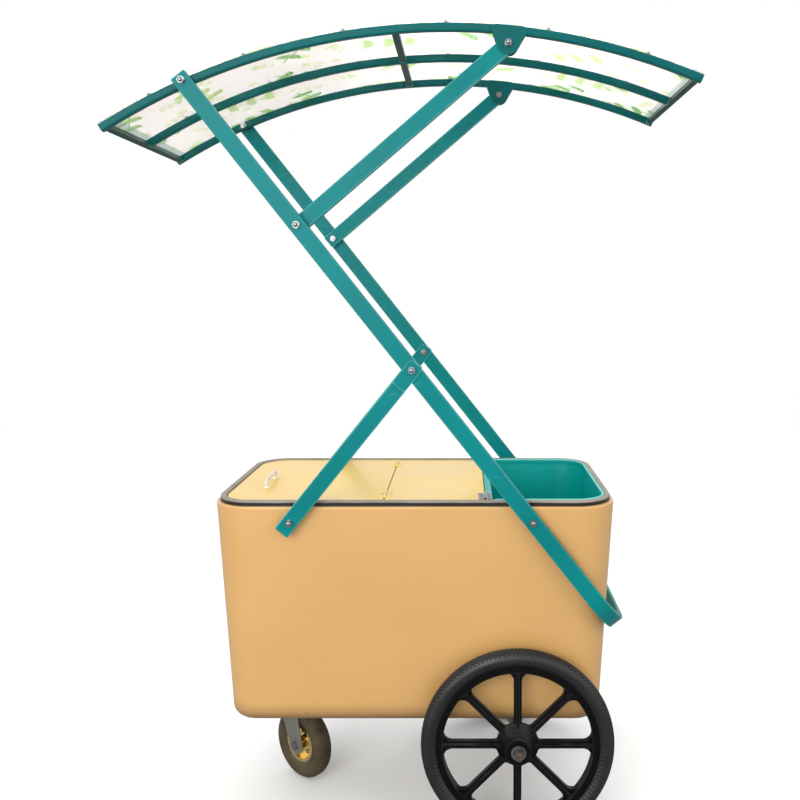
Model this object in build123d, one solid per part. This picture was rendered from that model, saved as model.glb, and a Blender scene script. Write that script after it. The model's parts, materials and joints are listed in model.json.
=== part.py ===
from build123d import *
import os
from math import atan2, cos, degrees, hypot, radians, sin, sqrt, tan

# Insulated cart: a moulded box on two spoked wheels and one swivel caster, with a folding steel frame
# that carries an arched canopy. Millimetres, +Z up, +X towards the spoked wheels, front side at -Y.
# X is worked out from the middle of the box and moved at the end to the middle of the canopy.

# Insulated box, outside
box_length = 1035.0
box_width = 570.0
box_corner_radius = 105.0
box_bottom_z = 273.0
box_height = 575.0
wall_draft = 3.4
bottom_fillet = 30.0
shell_wall = 5.0
shoulder_round = 5.0

# Rim of the box: a lip under a rubber edge trim
shoulder_width = 10.0
trim_width = 16.0
trim_height = 14.0
trim_round = 5.0
trim_outer_leg = 6.0
lip_wall = 4.0
lip_height = 9.0

# Inner liner, partition and lid seat
liner_wall = 3.0
liner_fillet = 40.0
floor_insulation = 40.0
partition_end_distance = 335.2
partition_thickness = 17.0
partition_slot_depth = 1.0
partition_slot_run = 5.0
ledge_width = 14.0
ledge_height = 16.0
gasket_width = 8.0
gasket_height = 4.0

# Two-leaf lid
middle_lid_length = 260.0
lid_thickness = 30.0
lid_below_trim = 4.0
lid_gap = 2.0
lid_skin = 4.0
lid_edge_round = 2.0

# Lid hinges and handle
hinge_length = 64.0
hinge_leaf_width = 17.0
hinge_leaf_thickness = 1.5
hinge_knuckle_radius = 3.0
hinge_pin_radius = 1.5
seam_hinge_edge = 30.0
partition_hinge_edge = 9.0
knuckle_length = 18.0
handle_length = 112.0
handle_height = 20.0
handle_rod_radius = 5.0
handle_bend_radius = 9.0
handle_edge_distance = 83.0
handle_offset = -55.0
handle_foot_radius = 10.0
handle_foot_thickness = 3.0

# Folding frame
tube_width = 40.0
tube_thickness = 20.0
tube_wall = 2.0
tube_round = 2.5
tube_end_corner = 5.0
arm_box_gap = 5.0
arm_pivot_end_distance = 219.2
pivot_drop = 33.0
arm_slope = 51.8
arm_rise = 1366.0
arm_top_overhang = 16.0
brace_joint_along = 483.0
stay_joint_along = 931.0
brace_pivot_end_distance = 211.8
brace_overhang = 34.0
brace_neck = 32.0
loop_gap = 2.0
loop_bend_radius = 130.0
fork_length = 55.0
fork_top_overhang = 20.0
fork_corner = 10.0
plate_thickness = 3.0
fork_clearance = 0.5

# Canopy
rail_size = 20.0
rail_corner_flats = 3
rail_wall = 2.0
canopy_radius = 1603.0
canopy_center_offset = 209.6
canopy_left_angle = 31.7
canopy_right_angle = 22.5
crossbar_width = 18.0
crossbar_height = 16.0
crossbar_drop = 1.5
end_bar_inset = 4.0
end_bar_width = 14.0
sheet_thickness = 3.0
sheet_edge_inset = 4.0
stay_angle = 5.28
stay_drop = 33.0
stay_clearance = 0.3
stay_lower_overhang = 20.0
stay_upper_overhang = 17.0
stay_end_corner = 17.0
bracket_half_length = 31.0
bracket_top_radius = 11.0
bracket_top_margin = 1.0
bracket_bottom_radius = 26.0
sheet_screw_radius = 6.0
sheet_screw_height = 3.0
sheet_screws_per_rail = 6
pivot_washer = 1.5

# Pivot bolts of the frame
bolt_radius = 5.0
bolt_head_across = 15.0
bolt_head_height = 7.0
bolt_washer_radius = 9.0
bolt_washer_thickness = 1.5
bolt_tail = 4.0
spacer_radius = 17.0
backing_radius = 32.0
backing_thickness = 4.0
backing_pocket_depth = 16.0

# Spoked wheels and their axle
wheel_end_distance = 255.2
tyre_radius = 245.0
tyre_width = 50.0
tyre_box_gap = 15.0
tyre_tread_half_width = 17.0
tyre_shoulder_drop = 7.0
tyre_crown_thickness = 9.0
tyre_bead_thickness = 4.0
bead_radius = 203.0
bead_half_width = 12.0
flange_height = 6.0
flange_thickness = 3.5
window_radius = 190.0
spoke_count = 8
spoke_width = 20.0
spoke_plate_thickness = 12.0
spoke_rib_width = 7.0
spoke_rib_depth = 28.0
spoke_window_corner = 22.0
hub_window_corner = 8.0
hub_window_radius = 54.0
hub_radius = 33.0
hub_inner_length = 35.0
hub_outer_length = 45.0
hub_cone_height = 18.0
hub_bore_radius = 12.0
bearing_radius = 17.5
bearing_width = 10.0
axle_radius = 8.0
axle_tail = 12.0
collar_radius = 15.0
collar_width = 10.0
axle_nut_across = 24.0
axle_nut_height = 13.0
axle_washer_radius = 19.0
axle_washer_thickness = 2.5
bracket_side_distance = 115.0
bracket_foot_length = 110.0
bracket_foot_width = 60.0
bracket_foot_thickness = 5.0
bracket_web_thickness = 8.0
bracket_web_top = 80.0
bracket_eye_radius = 20.0

# Swivel caster
caster_end_distance = 159.0
caster_trail = 35.0
caster_turn = 40.0
caster_tyre_radius = 100.0
caster_tyre_width = 50.0
caster_tread_half_width = 18.0
caster_shoulder_drop = 6.0
caster_bead_radius = 49.0
caster_bead_half_width = 15.0
caster_flange_height = 5.0
caster_flange_thickness = 2.5
caster_rim_wall = 4.0
caster_web_thickness = 4.0
caster_hub_radius = 18.0
caster_bearing_radius = 13.0
caster_bearing_width = 9.0
caster_axle_radius = 6.0
caster_axle_head_across = 19.0
caster_axle_head_height = 8.0
fork_leg_thickness = 4.0
fork_leg_gap = 3.0
fork_eye_radius = 26.0
fork_leg_top_length = 72.0
fork_crown_thickness = 6.0
fork_crown_gap = 11.0
kingpin_radius = 8.0
kingpin_head_radius = 14.0
kingpin_head_height = 5.0
swivel_radius = 34.0
top_plate_size = 130.0
top_plate_thickness = 6.0
top_plate_corner = 12.0
plate_bolt_spacing = 100.0
plate_bolt_across = 13.0
plate_bolt_height = 5.5

# Clearances
fit_gap = 0.3
pin_clearance = 0.05
hole_land = 0.25
cut_margin = 5.0
bore_margin = 1.0

# Levels and places worked out from the sizes above
draft_slope = tan(radians(wall_draft))
shoulder_z = box_bottom_z + box_height
trim_top_z = shoulder_z + trim_height
lip_top_z = shoulder_z + lip_height
lip_inset = shoulder_width + trim_outer_leg
liner_inset = lip_inset + lip_wall + fit_gap
liner_inner_inset = liner_inset + liner_wall
trim_inner_inset = shoulder_width + trim_width
liner_bottom_z = box_bottom_z + shell_wall + floor_insulation
liner_floor_z = liner_bottom_z + liner_wall
lid_top_z = trim_top_z - lid_below_trim
lid_bottom_z = lid_top_z - lid_thickness
gasket_bottom_z = lid_bottom_z - gasket_height - fit_gap
lid_inset = trim_inner_inset + lid_gap
lid_half_width = box_width / 2 - lid_inset
partition_x = box_length / 2 - partition_end_distance
seam_x = partition_x - middle_lid_length
hinge_axis_z = lid_top_z + hinge_knuckle_radius + fit_gap
partition_hinge_x = partition_x - lid_gap / 2
partition_hinge_offset = lid_half_width - partition_hinge_edge - hinge_length / 2
seam_hinge_offset = lid_half_width - seam_hinge_edge - hinge_length / 2

arm_pivot_x = box_length / 2 - arm_pivot_end_distance
brace_pivot_x = brace_pivot_end_distance - box_length / 2
canopy_center_x = arm_pivot_x - canopy_center_offset
arm_y = box_width / 2 + arm_box_gap + tube_thickness / 2
arm_inner_y = arm_y - tube_thickness / 2
arm_outer_y = arm_y + tube_thickness / 2
rail_y = arm_inner_y - pivot_washer - rail_size / 2
rail_inner_y = rail_y - rail_size / 2
rail_outer_y = rail_y + rail_size / 2
brace_thickness = tube_thickness + 2 * fork_clearance
stay_thickness = rail_size - 2 * stay_clearance
pivot_z = shoulder_z - pivot_drop
slope_cos = cos(radians(arm_slope))
slope_sin = sin(radians(arm_slope))


def along_arm(distance):
    """Point on the arm's centre line, measured up from its pivot on the box."""
    return (arm_pivot_x - distance * slope_cos, pivot_z + distance * slope_sin)


arm_pivot = (arm_pivot_x, pivot_z)
brace_pivot = (brace_pivot_x, pivot_z)
brace_joint = along_arm(brace_joint_along)
stay_joint = along_arm(stay_joint_along)
canopy_pivot = along_arm(arm_rise)
canopy_center_z = canopy_pivot[1] - sqrt(canopy_radius ** 2 - (canopy_pivot[0] - canopy_center_x) ** 2)
canopy_center = (canopy_center_x, canopy_center_z)
sheet_outer_radius = canopy_radius + rail_size / 2 + sheet_thickness


def on_canopy(radius, angle):
    """Point at a radius of the canopy's arch, angle in degrees to the right of straight up."""
    return (
        canopy_center_x + radius * sin(radians(angle)),
        canopy_center_z + radius * cos(radians(angle)),
    )


stay_top = on_canopy(canopy_radius - stay_drop, stay_angle)
canopy_middle_angle = (canopy_right_angle - canopy_left_angle) / 2
origin_x = (on_canopy(sheet_outer_radius, -canopy_left_angle)[0]
            + on_canopy(sheet_outer_radius, canopy_right_angle)[0]) / 2

tyre_top_half_width = box_width / 2 - (shoulder_z - 2 * tyre_radius) * draft_slope
wheel_y = tyre_top_half_width + tyre_box_gap + tyre_width / 2
wheel_x = box_length / 2 - wheel_end_distance
wheel_z = tyre_radius
bracket_y = box_width / 2 - bracket_side_distance


def save(name, shape):
    """Write one node, moved so that the canopy's middle is at X = 0."""
    export_step(Pos(-origin_x, 0, 0) * shape, f"parts/{name}.step")


def both_sides(make):
    """The same piece at the front and at the rear: make(side) with side -1 and 1."""
    return make(-1) + make(1)


def slab(sketch, thickness, y):
    """A sketch in X and Z given a thickness in Y, centred on y."""
    return Pos(0, y, 0) * extrude(Plane.XZ * sketch, amount=thickness / 2, both=True)


def y_rod(radius, y_start, y_end, place):
    """Round rod along Y at a place (x, z)."""
    middle = (y_start + y_end) / 2
    return Pos(place[0], middle, place[1]) * Rot(90, 0, 0) * Cylinder(radius, abs(y_end - y_start))


def y_bore(pin_radius, y_start, y_end, place):
    """Running bore for a pin along Y, cut past both ends."""
    low, high = sorted((y_start, y_end))
    return y_rod(pin_radius + pin_clearance, low - bore_margin, high + bore_margin, place)


def y_hex(across, y_start, y_end, place):
    """Hexagon head along Y at a place (x, z), sized across its flats."""
    sketch = Pos(place[0], place[1]) * RegularPolygon(across / 2, 6, major_radius=False)
    return slab(sketch, abs(y_end - y_start), (y_start + y_end) / 2)


def z_rod(radius, z_start, z_end, x=0.0, y=0.0):
    """Round rod along Z."""
    return Pos(x, y, (z_start + z_end) / 2) * Cylinder(radius, z_end - z_start)


def z_bore(pin_radius, z_start, z_end):
    """Running bore for a pin along Z, cut past both ends."""
    return z_rod(pin_radius + pin_clearance, z_start - bore_margin, z_end + bore_margin)


def block(x_range, y_range, z_range):
    """Plain block between two corners."""
    sizes = [high - low for low, high in (x_range, y_range, z_range)]
    middles = [(high + low) / 2 for low, high in (x_range, y_range, z_range)]
    return Pos(*middles) * Box(*sizes)


def half_width_at(z):
    """Half width of the shell's outside at a height."""
    return box_width / 2 - (shoulder_z - z) * draft_slope


def tub(inset, z_low, z_high, floor_fillet=0.0):
    """Solid with the box's drafted, rounded outline, set in by a distance, between two heights."""
    offset = inset + (shoulder_z - z_low) * draft_slope
    outline = RectangleRounded(box_length - 2 * offset, box_width - 2 * offset, box_corner_radius - offset)
    solid = extrude(Pos(0, 0, z_low) * outline, amount=z_high - z_low, taper=-wall_draft)
    if floor_fillet > 0:
        solid = fillet(solid.faces().sort_by(Axis.Z)[0].edges(), floor_fillet)
    return solid


def cold_side():
    """Half space over the compartment under the lids, up to the partition."""
    return block((-box_length, partition_x), (-box_width, box_width), (0, 2 * shoulder_z))


def ring(outer_inset, inner_inset, z_low, z_high):
    """Band that follows the box's outline between two insets and two heights."""
    hole = tub(inner_inset, z_low - cut_margin, z_high + cut_margin)
    return tub(outer_inset, z_low, z_high) - hole


# Insulated box

pivot_places = [(arm_pivot, arm_inner_y), (brace_pivot, arm_y - brace_thickness / 2)]


def pivot_holes():
    """Holes through the shell for the frame's four pivot bolts."""
    reach = box_width / 2 + cut_margin
    depth = half_width_at(pivot_z) - backing_pocket_depth - shell_wall
    holes = [
        y_rod(bolt_radius + pin_clearance, side * depth, side * reach, place)
        for place, _ in pivot_places
        for side in (-1, 1)
    ]
    return sum(holes[1:], holes[0])


def make_outer_shell():
    outside = tub(0, box_bottom_z, shoulder_z, bottom_fillet)
    outside = fillet(outside.faces().sort_by(Axis.Z)[-1].edges(), shoulder_round)
    cavity = tub(shell_wall, box_bottom_z + shell_wall, shoulder_z - shell_wall, bottom_fillet - shell_wall)
    lip = tub(lip_inset, shoulder_z - shell_wall / 2, lip_top_z)
    mouth = tub(lip_inset + lip_wall, shoulder_z - shell_wall - cut_margin, lip_top_z + cut_margin)
    return outside - cavity + lip - mouth - pivot_holes()


def make_insulation():
    outside = tub(
        shell_wall + fit_gap,
        box_bottom_z + shell_wall + fit_gap,
        shoulder_z - shell_wall - fit_gap,
        bottom_fillet - shell_wall - fit_gap,
    )
    inside = tub(liner_inset - fit_gap, liner_bottom_z - fit_gap, shoulder_z, liner_fillet + liner_wall)
    foam = outside - inside
    for place, _ in pivot_places:
        for side in (-1, 1):
            depth = half_width_at(pivot_z) - shell_wall - backing_pocket_depth
            pocket = y_rod(backing_radius + fit_gap, side * depth, side * box_width, place)
            foam = foam - pocket
    return foam


def make_backing_plates():
    """Round plates behind the shell that spread the load of the pivot bolts."""
    skin = tub(shell_wall + fit_gap, box_bottom_z + bottom_fillet, shoulder_z - shell_wall - fit_gap)
    skin = skin - tub(shell_wall + fit_gap + backing_thickness, box_bottom_z, shoulder_z)
    plates = [
        skin & y_rod(backing_radius, side * box_width / 4, side * box_width, place)
        for place, _ in pivot_places
        for side in (-1, 1)
    ]
    return sum(plates[1:], plates[0]) - pivot_holes()


def make_liner():
    outside = tub(liner_inset, liner_bottom_z, lip_top_z, liner_fillet + liner_wall)
    inside = tub(liner_inner_inset, liner_floor_z, lip_top_z + cut_margin, liner_fillet)
    return outside - inside - partition_foot(fit_gap, liner_floor_z + partition_slot_depth)


def partition_foot(margin, top):
    """Foot of the partition in the slot across the liner's floor, grown by a margin."""
    half = half_width_at(liner_floor_z) - liner_inner_inset - liner_fillet + partition_slot_run + margin
    span = (partition_x - margin, partition_x + partition_thickness + margin)
    return block(span, (-half, half), (liner_floor_z - partition_slot_depth, top))


def make_partition():
    room = tub(liner_inner_inset + fit_gap, liner_floor_z, lid_top_z, liner_fillet)
    span = (partition_x, partition_x + partition_thickness)
    panel = room & block(span, (-box_width, box_width), (0, 2 * shoulder_z))
    panel = panel + partition_foot(0, liner_floor_z)
    notch = ring(shoulder_width - fit_gap, trim_inner_inset + fit_gap, shoulder_z - fit_gap, trim_top_z)
    return panel - notch


def make_trim():
    body = tub(shoulder_width, shoulder_z, trim_top_z)
    body = body - tub(trim_inner_inset, shoulder_z - cut_margin, trim_top_z + cut_margin)
    body = fillet(body.faces().sort_by(Axis.Z)[-1].edges(), trim_round)
    channel = tub(lip_inset - fit_gap, shoulder_z - cut_margin, lip_top_z + fit_gap)
    channel = channel - tub(liner_inner_inset + fit_gap, shoulder_z - 2 * cut_margin, lip_top_z + cut_margin)
    return body - channel


def make_ledge():
    inset = liner_inner_inset + fit_gap
    band = ring(inset, inset + ledge_width, gasket_bottom_z - ledge_height, gasket_bottom_z)
    return band & cold_side()


def make_gasket():
    inset = lid_inset + fit_gap
    band = ring(inset, inset + gasket_width, gasket_bottom_z, lid_bottom_z - fit_gap)
    return band & cold_side()


# Lids

lid_spans = {
    "left_lid": (-box_length, seam_x - lid_gap / 2),
    "middle_lid": (seam_x + lid_gap / 2, partition_x - lid_gap),
}


def lid_body(name, inset_more):
    """Block of one lid leaf, shrunk on all sides by a distance."""
    low, high = lid_spans[name]
    body = tub(lid_inset + inset_more, lid_bottom_z + inset_more, lid_top_z - inset_more)
    edges = (low + inset_more, high - inset_more)
    return body & block(edges, (-box_width, box_width), (0, 2 * shoulder_z))


def make_lid(name):
    outside = lid_body(name, 0)
    outside = fillet(outside.faces().sort_by(Axis.Z)[-1].edges(), lid_edge_round)
    return outside - lid_body(name, lid_skin)


def make_lid_core(name):
    return lid_body(name, lid_skin + fit_gap)


def knuckle(axis_x, y_start, y_end, toward):
    """One hinge barrel with the tab that joins it to its leaf on the side given by toward."""
    barrel = y_rod(hinge_knuckle_radius, y_start, y_end, (axis_x, hinge_axis_z))
    reach = sorted((axis_x, axis_x + toward * (hinge_knuckle_radius + 2 * fit_gap)))
    tab = block(reach, sorted((y_start, y_end)), (lid_top_z, lid_top_z + hinge_leaf_thickness))
    bore = y_bore(hinge_pin_radius, y_start, y_end, (axis_x, hinge_axis_z))
    return barrel + tab - bore


def hinge_leaf(axis_x, toward, y_middle, outer_barrels):
    """One hinge leaf: a flat plate with either the two outer barrels or the middle one."""
    near = axis_x + toward * (hinge_knuckle_radius + fit_gap)
    plate = block(
        sorted((near, axis_x + toward * hinge_leaf_width)),
        (y_middle - hinge_length / 2, y_middle + hinge_length / 2),
        (lid_top_z, lid_top_z + hinge_leaf_thickness),
    )
    if not outer_barrels:
        half = hinge_length / 2 - knuckle_length - fit_gap
        return plate + knuckle(axis_x, y_middle - half, y_middle + half, toward)
    for side in (-1, 1):
        y_end = y_middle + side * hinge_length / 2
        plate = plate + knuckle(axis_x, *sorted((y_end - side * knuckle_length, y_end)), toward)
    return plate


def hinge_leaves(axis_x, offset, toward, outer_barrels):
    return both_sides(lambda side: hinge_leaf(axis_x, toward, side * offset, outer_barrels))


def hinge_pins(axis_x, offset):
    def pin(side):
        middle = side * offset
        half = hinge_length / 2
        return y_rod(hinge_pin_radius, middle - half, middle + half, (axis_x, hinge_axis_z))
    return both_sides(pin)


def make_handle():
    """D handle on the left lid: a round rod bent up from two feet, along Y."""
    x = lid_inset + handle_edge_distance - box_length / 2
    ends = (handle_offset - handle_length / 2, handle_offset + handle_length / 2)
    base = lid_top_z
    top = base + handle_height
    path = FilletPolyline(
        (x, ends[0], base), (x, ends[0], top), (x, ends[1], top), (x, ends[1], base),
        radius=handle_bend_radius,
    )
    start = Plane(origin=(x, ends[0], base), z_dir=(0, 0, 1))
    rod = sweep(start * Circle(handle_rod_radius), path=path)
    feet = [z_rod(handle_foot_radius, base, base + handle_foot_thickness, x, y) for y in ends]
    return rod + feet[0] + feet[1]


# Folding frame

def bar_outline(start, end, overhang_start, overhang_end, width, corner):
    """Rounded rectangle in X and Z along the line from start to end."""
    run = hypot(end[0] - start[0], end[1] - start[1])
    angle = degrees(atan2(end[1] - start[1], end[0] - start[0]))
    length = run + overhang_start + overhang_end
    middle = (run + overhang_end - overhang_start) / 2
    bar = Pos(middle, 0) * RectangleRounded(length, width, corner)
    return Pos(start[0], start[1]) * Rot(0, 0, angle) * bar


def hollow_bar(start, end, overhang_start, overhang_end, thickness, corners, y):
    """Closed rectangular tube in a plane of constant Y, with a corner radius for each of its ends."""
    lap = hypot(end[0] - start[0], end[1] - start[1]) / 2 - tube_width

    def outline(inset):
        width = tube_width - 2 * inset
        first = bar_outline(start, end, overhang_start - inset, -lap, width, corners[0] - inset)
        return first + bar_outline(start, end, -lap, overhang_end - inset, width, corners[1] - inset)

    outside = slab(outline(0), thickness, y)
    outside = fillet(outside.faces().filter_by(Axis.Y).edges(), tube_round)
    return outside - slab(outline(tube_wall), thickness - 2 * tube_wall, y)


def loop_reach():
    """Distance from the arm's pivot to the outer face of the loop, which rests beside the box's end."""
    corner_x = box_length / 2 + loop_gap - arm_pivot_x + slope_sin * tube_width / 2
    corner_drop = (pivot_drop + slope_cos * tube_width / 2) * draft_slope
    return (corner_x - corner_drop) / (slope_cos + slope_sin * draft_slope) + tube_thickness


def arm_hole(along, side):
    """Hole through one arm for a pivot bolt."""
    reach = (side * (arm_inner_y - cut_margin), side * (arm_outer_y + cut_margin))
    return y_rod(bolt_radius + pin_clearance, *reach, along_arm(along))


def make_main_frame():
    """Both arms and the loop round the box's end, bent from one rectangular tube."""
    length = arm_rise + arm_top_overhang + loop_reach()

    def u_shape(shrink, height):
        outer = Pos(length / 2, 0) * RectangleRounded(
            length - 2 * shrink, 2 * (arm_outer_y - shrink), loop_bend_radius - shrink
        )
        square_top = Pos(loop_bend_radius / 2, 0) * Rectangle(
            loop_bend_radius - 2 * shrink, 2 * (arm_outer_y - shrink)
        )
        inner_length = length - tube_thickness + shrink
        inner = Pos(inner_length - length, 0) * RectangleRounded(
            2 * length, 2 * (arm_inner_y + shrink), loop_bend_radius - tube_thickness + shrink
        )
        return extrude(outer + square_top - inner, amount=height / 2, both=True)

    tube = u_shape(0, tube_width)
    tube = fillet(tube.faces().filter_by(Axis.Z).edges(), tube_round)
    tube = tube - u_shape(tube_wall, tube_width - 2 * tube_wall)
    top = along_arm(arm_rise + arm_top_overhang)
    lie = Plane(
        origin=(top[0], 0, top[1]), x_dir=(slope_cos, 0, -slope_sin), z_dir=(slope_sin, 0, slope_cos)
    )
    frame = lie * tube
    for along in (0, stay_joint_along, arm_rise):
        for side in (-1, 1):
            frame = frame - arm_hole(along, side)
    return frame


def make_brace(side):
    """Lower brace: a tube from its pivot on the box to the fork below the arm."""
    tube = hollow_bar(
        brace_pivot, brace_joint, brace_overhang, -brace_neck, brace_thickness,
        (tube_end_corner, tube_end_corner), side * arm_y,
    )
    reach = (side * (arm_inner_y - cut_margin), side * (arm_outer_y + cut_margin))
    return tube - y_rod(bolt_radius + pin_clearance, *reach, brace_pivot)


def fork_faces():
    """Inner and outer faces of the fork plates, as distances from the middle plane."""
    near = arm_y - brace_thickness / 2
    far = arm_y + brace_thickness / 2
    return (near - plate_thickness, near), (far, far + plate_thickness)


def make_fork_plates(side):
    """Two plates on the brace's sides that reach past the arm."""
    run = hypot(brace_joint[0] - brace_pivot[0], brace_joint[1] - brace_pivot[1])
    start = fork_length - run
    outline = bar_outline(brace_pivot, brace_joint, start, fork_top_overhang, tube_width, fork_corner)
    plates = [slab(outline, plate_thickness, side * (low + high) / 2) for low, high in fork_faces()]
    return plates[0] + plates[1]


def bolt_end(place, face_y, away):
    """Bolt head with its washer on a face, pointing away from it."""
    washer_end = face_y + away * bolt_washer_thickness
    head_end = washer_end + away * bolt_head_height
    washer = y_rod(bolt_washer_radius, face_y, washer_end, place)
    return washer + y_hex(bolt_head_across, washer_end, head_end, place)


def make_fork_bolts(side):
    """Bolt ends on the outside of both fork plates."""
    (inner_face, _), (_, outer_face) = fork_faces()
    inner = bolt_end(brace_joint, side * inner_face, -side)
    return inner + bolt_end(brace_joint, side * outer_face, side)


def make_stay(side):
    """Upper stay: a tube from the arm to the bracket under the canopy rail."""
    tube = hollow_bar(
        stay_joint, stay_top, stay_lower_overhang, stay_upper_overhang, stay_thickness,
        (tube_end_corner, stay_end_corner), side * rail_y,
    )
    reach = (side * (rail_inner_y - cut_margin), side * (rail_outer_y + cut_margin))
    return tube - y_rod(bolt_radius + pin_clearance, *reach, stay_joint)


def through_bolt(place, side, inner_face, outer_face, collar):
    """Bolt from outside an arm to a nut on the inside, with an optional spacing collar (near, far)."""
    inner = side * (inner_face - fit_gap)
    outer = side * outer_face
    tail = side * (inner_face - fit_gap - bolt_washer_thickness - bolt_head_height - bolt_tail)
    shank = y_rod(bolt_radius, tail, outer, place)
    bolt = shank + bolt_end(place, outer, side) + bolt_end(place, inner, -side)
    near, far = collar
    return bolt + y_rod(spacer_radius - 2 * bolt_washer_thickness, side * near, side * far, place)


def make_stay_bolts():
    """Bolts that join the arms and the stays, with a collar in the gap between them."""
    collar = (rail_y + stay_thickness / 2 + fit_gap, arm_inner_y)
    inner = rail_y - stay_thickness / 2
    return both_sides(lambda side: through_bolt(stay_joint, side, inner, arm_outer_y, collar))


def make_canopy_bolts():
    """Bolts that join the tops of the arms to the outer canopy rails."""
    collar = (rail_outer_y + fit_gap, arm_inner_y)
    return both_sides(lambda side: through_bolt(canopy_pivot, side, rail_inner_y, arm_outer_y, collar))


def make_pivot_spacers():
    """Spacers between the shell's sides and the arms and braces."""
    outside = tub(-fit_gap, box_bottom_z, shoulder_z + cut_margin)
    spacers = []
    for place, face in pivot_places:
        for side in (-1, 1):
            start = side * (half_width_at(pivot_z) - shell_wall)
            rod = y_rod(spacer_radius, start, side * (face - fit_gap), place)
            rod = rod - y_bore(bolt_radius, start, side * arm_outer_y, place)
            spacers.append(rod - outside)
    return sum(spacers[1:], spacers[0])


def make_pivot_bolts():
    """Bolts through the shell's sides that carry the arms and the braces."""
    seat = half_width_at(pivot_z) - shell_wall - backing_thickness - 2 * fit_gap
    seat = seat - spacer_radius * draft_slope
    bolts = []
    for place, _ in pivot_places:
        for side in (-1, 1):
            outer = side * (arm_y + brace_thickness / 2 + fit_gap)
            shank = y_rod(bolt_radius, side * seat, outer, place)
            bolts.append(shank + bolt_end(place, outer, side) + bolt_end(place, side * seat, -side))
    return sum(bolts[1:], bolts[0])


# Canopy

def arch_band(inner_radius, outer_radius, left_angle, right_angle):
    """Sector of a ring about the canopy's centre, angles in degrees to the right of straight up."""
    start = 90 - right_angle
    sweep_angle = right_angle - left_angle
    outer = CenterArc(canopy_center, outer_radius, start, sweep_angle)
    inner = CenterArc(canopy_center, inner_radius, start, sweep_angle)
    return make_face([outer, inner, Line(outer @ 0, inner @ 0), Line(outer @ 1, inner @ 1)])


def arch_angle(distance):
    """Angle in degrees of a distance measured along the rails."""
    return degrees(distance / canopy_radius)


# The rails' edges are rounded as far as the flat sides need for the pivots' holes
rail_round = rail_size / 2 - bolt_radius - pin_clearance - hole_land
rail_inner_radius = canopy_radius - rail_size / 2
rail_outer_radius = canopy_radius + rail_size / 2


def rail_section(inset):
    """Outline of a rail, set in by a distance: a square whose corners are rounded in flats."""
    corner = rail_round - inset
    middle = Vector(rail_size / 2 - rail_round, rail_size / 2 - rail_round)
    points = []
    for quarter in range(4):
        for step in range(rail_corner_flats + 1):
            turn = 90 * (quarter + step / rail_corner_flats)
            points.append(middle.rotate(Axis.Z, 90 * quarter) + Vector(corner, 0).rotate(Axis.Z, turn))
    return make_face(Polyline(*points, close=True))


def rounded_arch(inset, y, set_back=0.0):
    """Solid with a rail's outline, set in by a distance, its ends set back from the canopy's."""
    end_angle = arch_angle(inset + set_back)
    span = canopy_left_angle + canopy_right_angle - 2 * end_angle
    arch = revolve(Pos(canopy_radius, 0) * rail_section(inset), Axis.Y, revolution_arc=span)
    place = Pos(canopy_center[0], y, canopy_center[1])
    return place * Rot(0, end_angle - canopy_left_angle - 90, 0) * arch


def make_side_rail(y):
    """Round-edged tube bent to the canopy's arch, with closed ends and a hole for the arm's bolt."""
    rail = rounded_arch(0, y) - rounded_arch(rail_wall, y)
    reach = (y - rail_size, y + rail_size)
    return rail - y_rod(bolt_radius + pin_clearance, *reach, canopy_pivot)


def make_middle_rail():
    """Round-edged tube along the middle of the canopy, from one end bar to the other."""
    set_back = end_bar_inset + end_bar_width
    return rounded_arch(0, 0, set_back) - rounded_arch(rail_wall, 0, set_back)


def cross_tube(left_angle, right_angle, near_y, far_y):
    """Hollow bar across the canopy from one rail to another, with its ends cut to fit them."""
    top = rail_outer_radius - crossbar_drop
    bottom = top - crossbar_height
    middle = (near_y + far_y) / 2
    width = abs(far_y - near_y)
    bar = slab(arch_band(bottom, top, left_angle, right_angle), width, middle)
    bar = bar - rounded_arch(0, near_y) - rounded_arch(0, far_y)
    wall_angle = arch_angle(rail_wall)
    core = arch_band(bottom + rail_wall, top - rail_wall, left_angle + wall_angle, right_angle - wall_angle)
    return bar - slab(core, width - rail_size - 2 * rail_wall, middle)


def make_end_bars():
    """Tubes near the two ends of the canopy, from side rail to side rail."""
    near = arch_angle(end_bar_inset)
    far = arch_angle(end_bar_inset + end_bar_width)
    left_bar = cross_tube(near - canopy_left_angle, far - canopy_left_angle, -rail_y, rail_y)
    return left_bar + cross_tube(canopy_right_angle - far, canopy_right_angle - near, -rail_y, rail_y)


def make_crossbars():
    """Tubes under the middle of the sheet, between the rails."""
    half = arch_angle(crossbar_width / 2)
    span = (canopy_middle_angle - half, canopy_middle_angle + half)
    return both_sides(lambda side: cross_tube(*span, 0, side * rail_y))


def make_sheet():
    band = arch_band(rail_outer_radius, sheet_outer_radius, -canopy_left_angle, canopy_right_angle)
    return slab(band, 2 * (rail_outer_y - sheet_edge_inset), 0)


def make_brackets():
    """Rounded plates on both sides of the outer rails that hold the tops of the stays."""
    top_radius = rail_outer_radius - bracket_top_margin - bracket_top_radius
    tops = [
        on_canopy(top_radius, stay_angle + step * arch_angle(bracket_half_length)) for step in (-1, 1)
    ]
    rounds = [Pos(*top) * Circle(bracket_top_radius) for top in tops]
    rounds.append(Pos(*stay_top) * Circle(bracket_bottom_radius))
    outline = make_hull([edge for disc in rounds for edge in disc.edges()])
    middles = [rail_outer_y + plate_thickness / 2, rail_inner_y - plate_thickness / 2]
    plates = [slab(outline, plate_thickness, side * middle) for side in (-1, 1) for middle in middles]
    return sum(plates[1:], plates[0])


def make_bracket_bolts():
    """Bolt ends on the outside of the bracket plates."""
    ends = []
    for side in (-1, 1):
        ends.append(bolt_end(stay_top, side * (rail_outer_y + plate_thickness), side))
        ends.append(bolt_end(stay_top, side * (rail_inner_y - plate_thickness), -side))
    return sum(ends[1:], ends[0])


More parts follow.
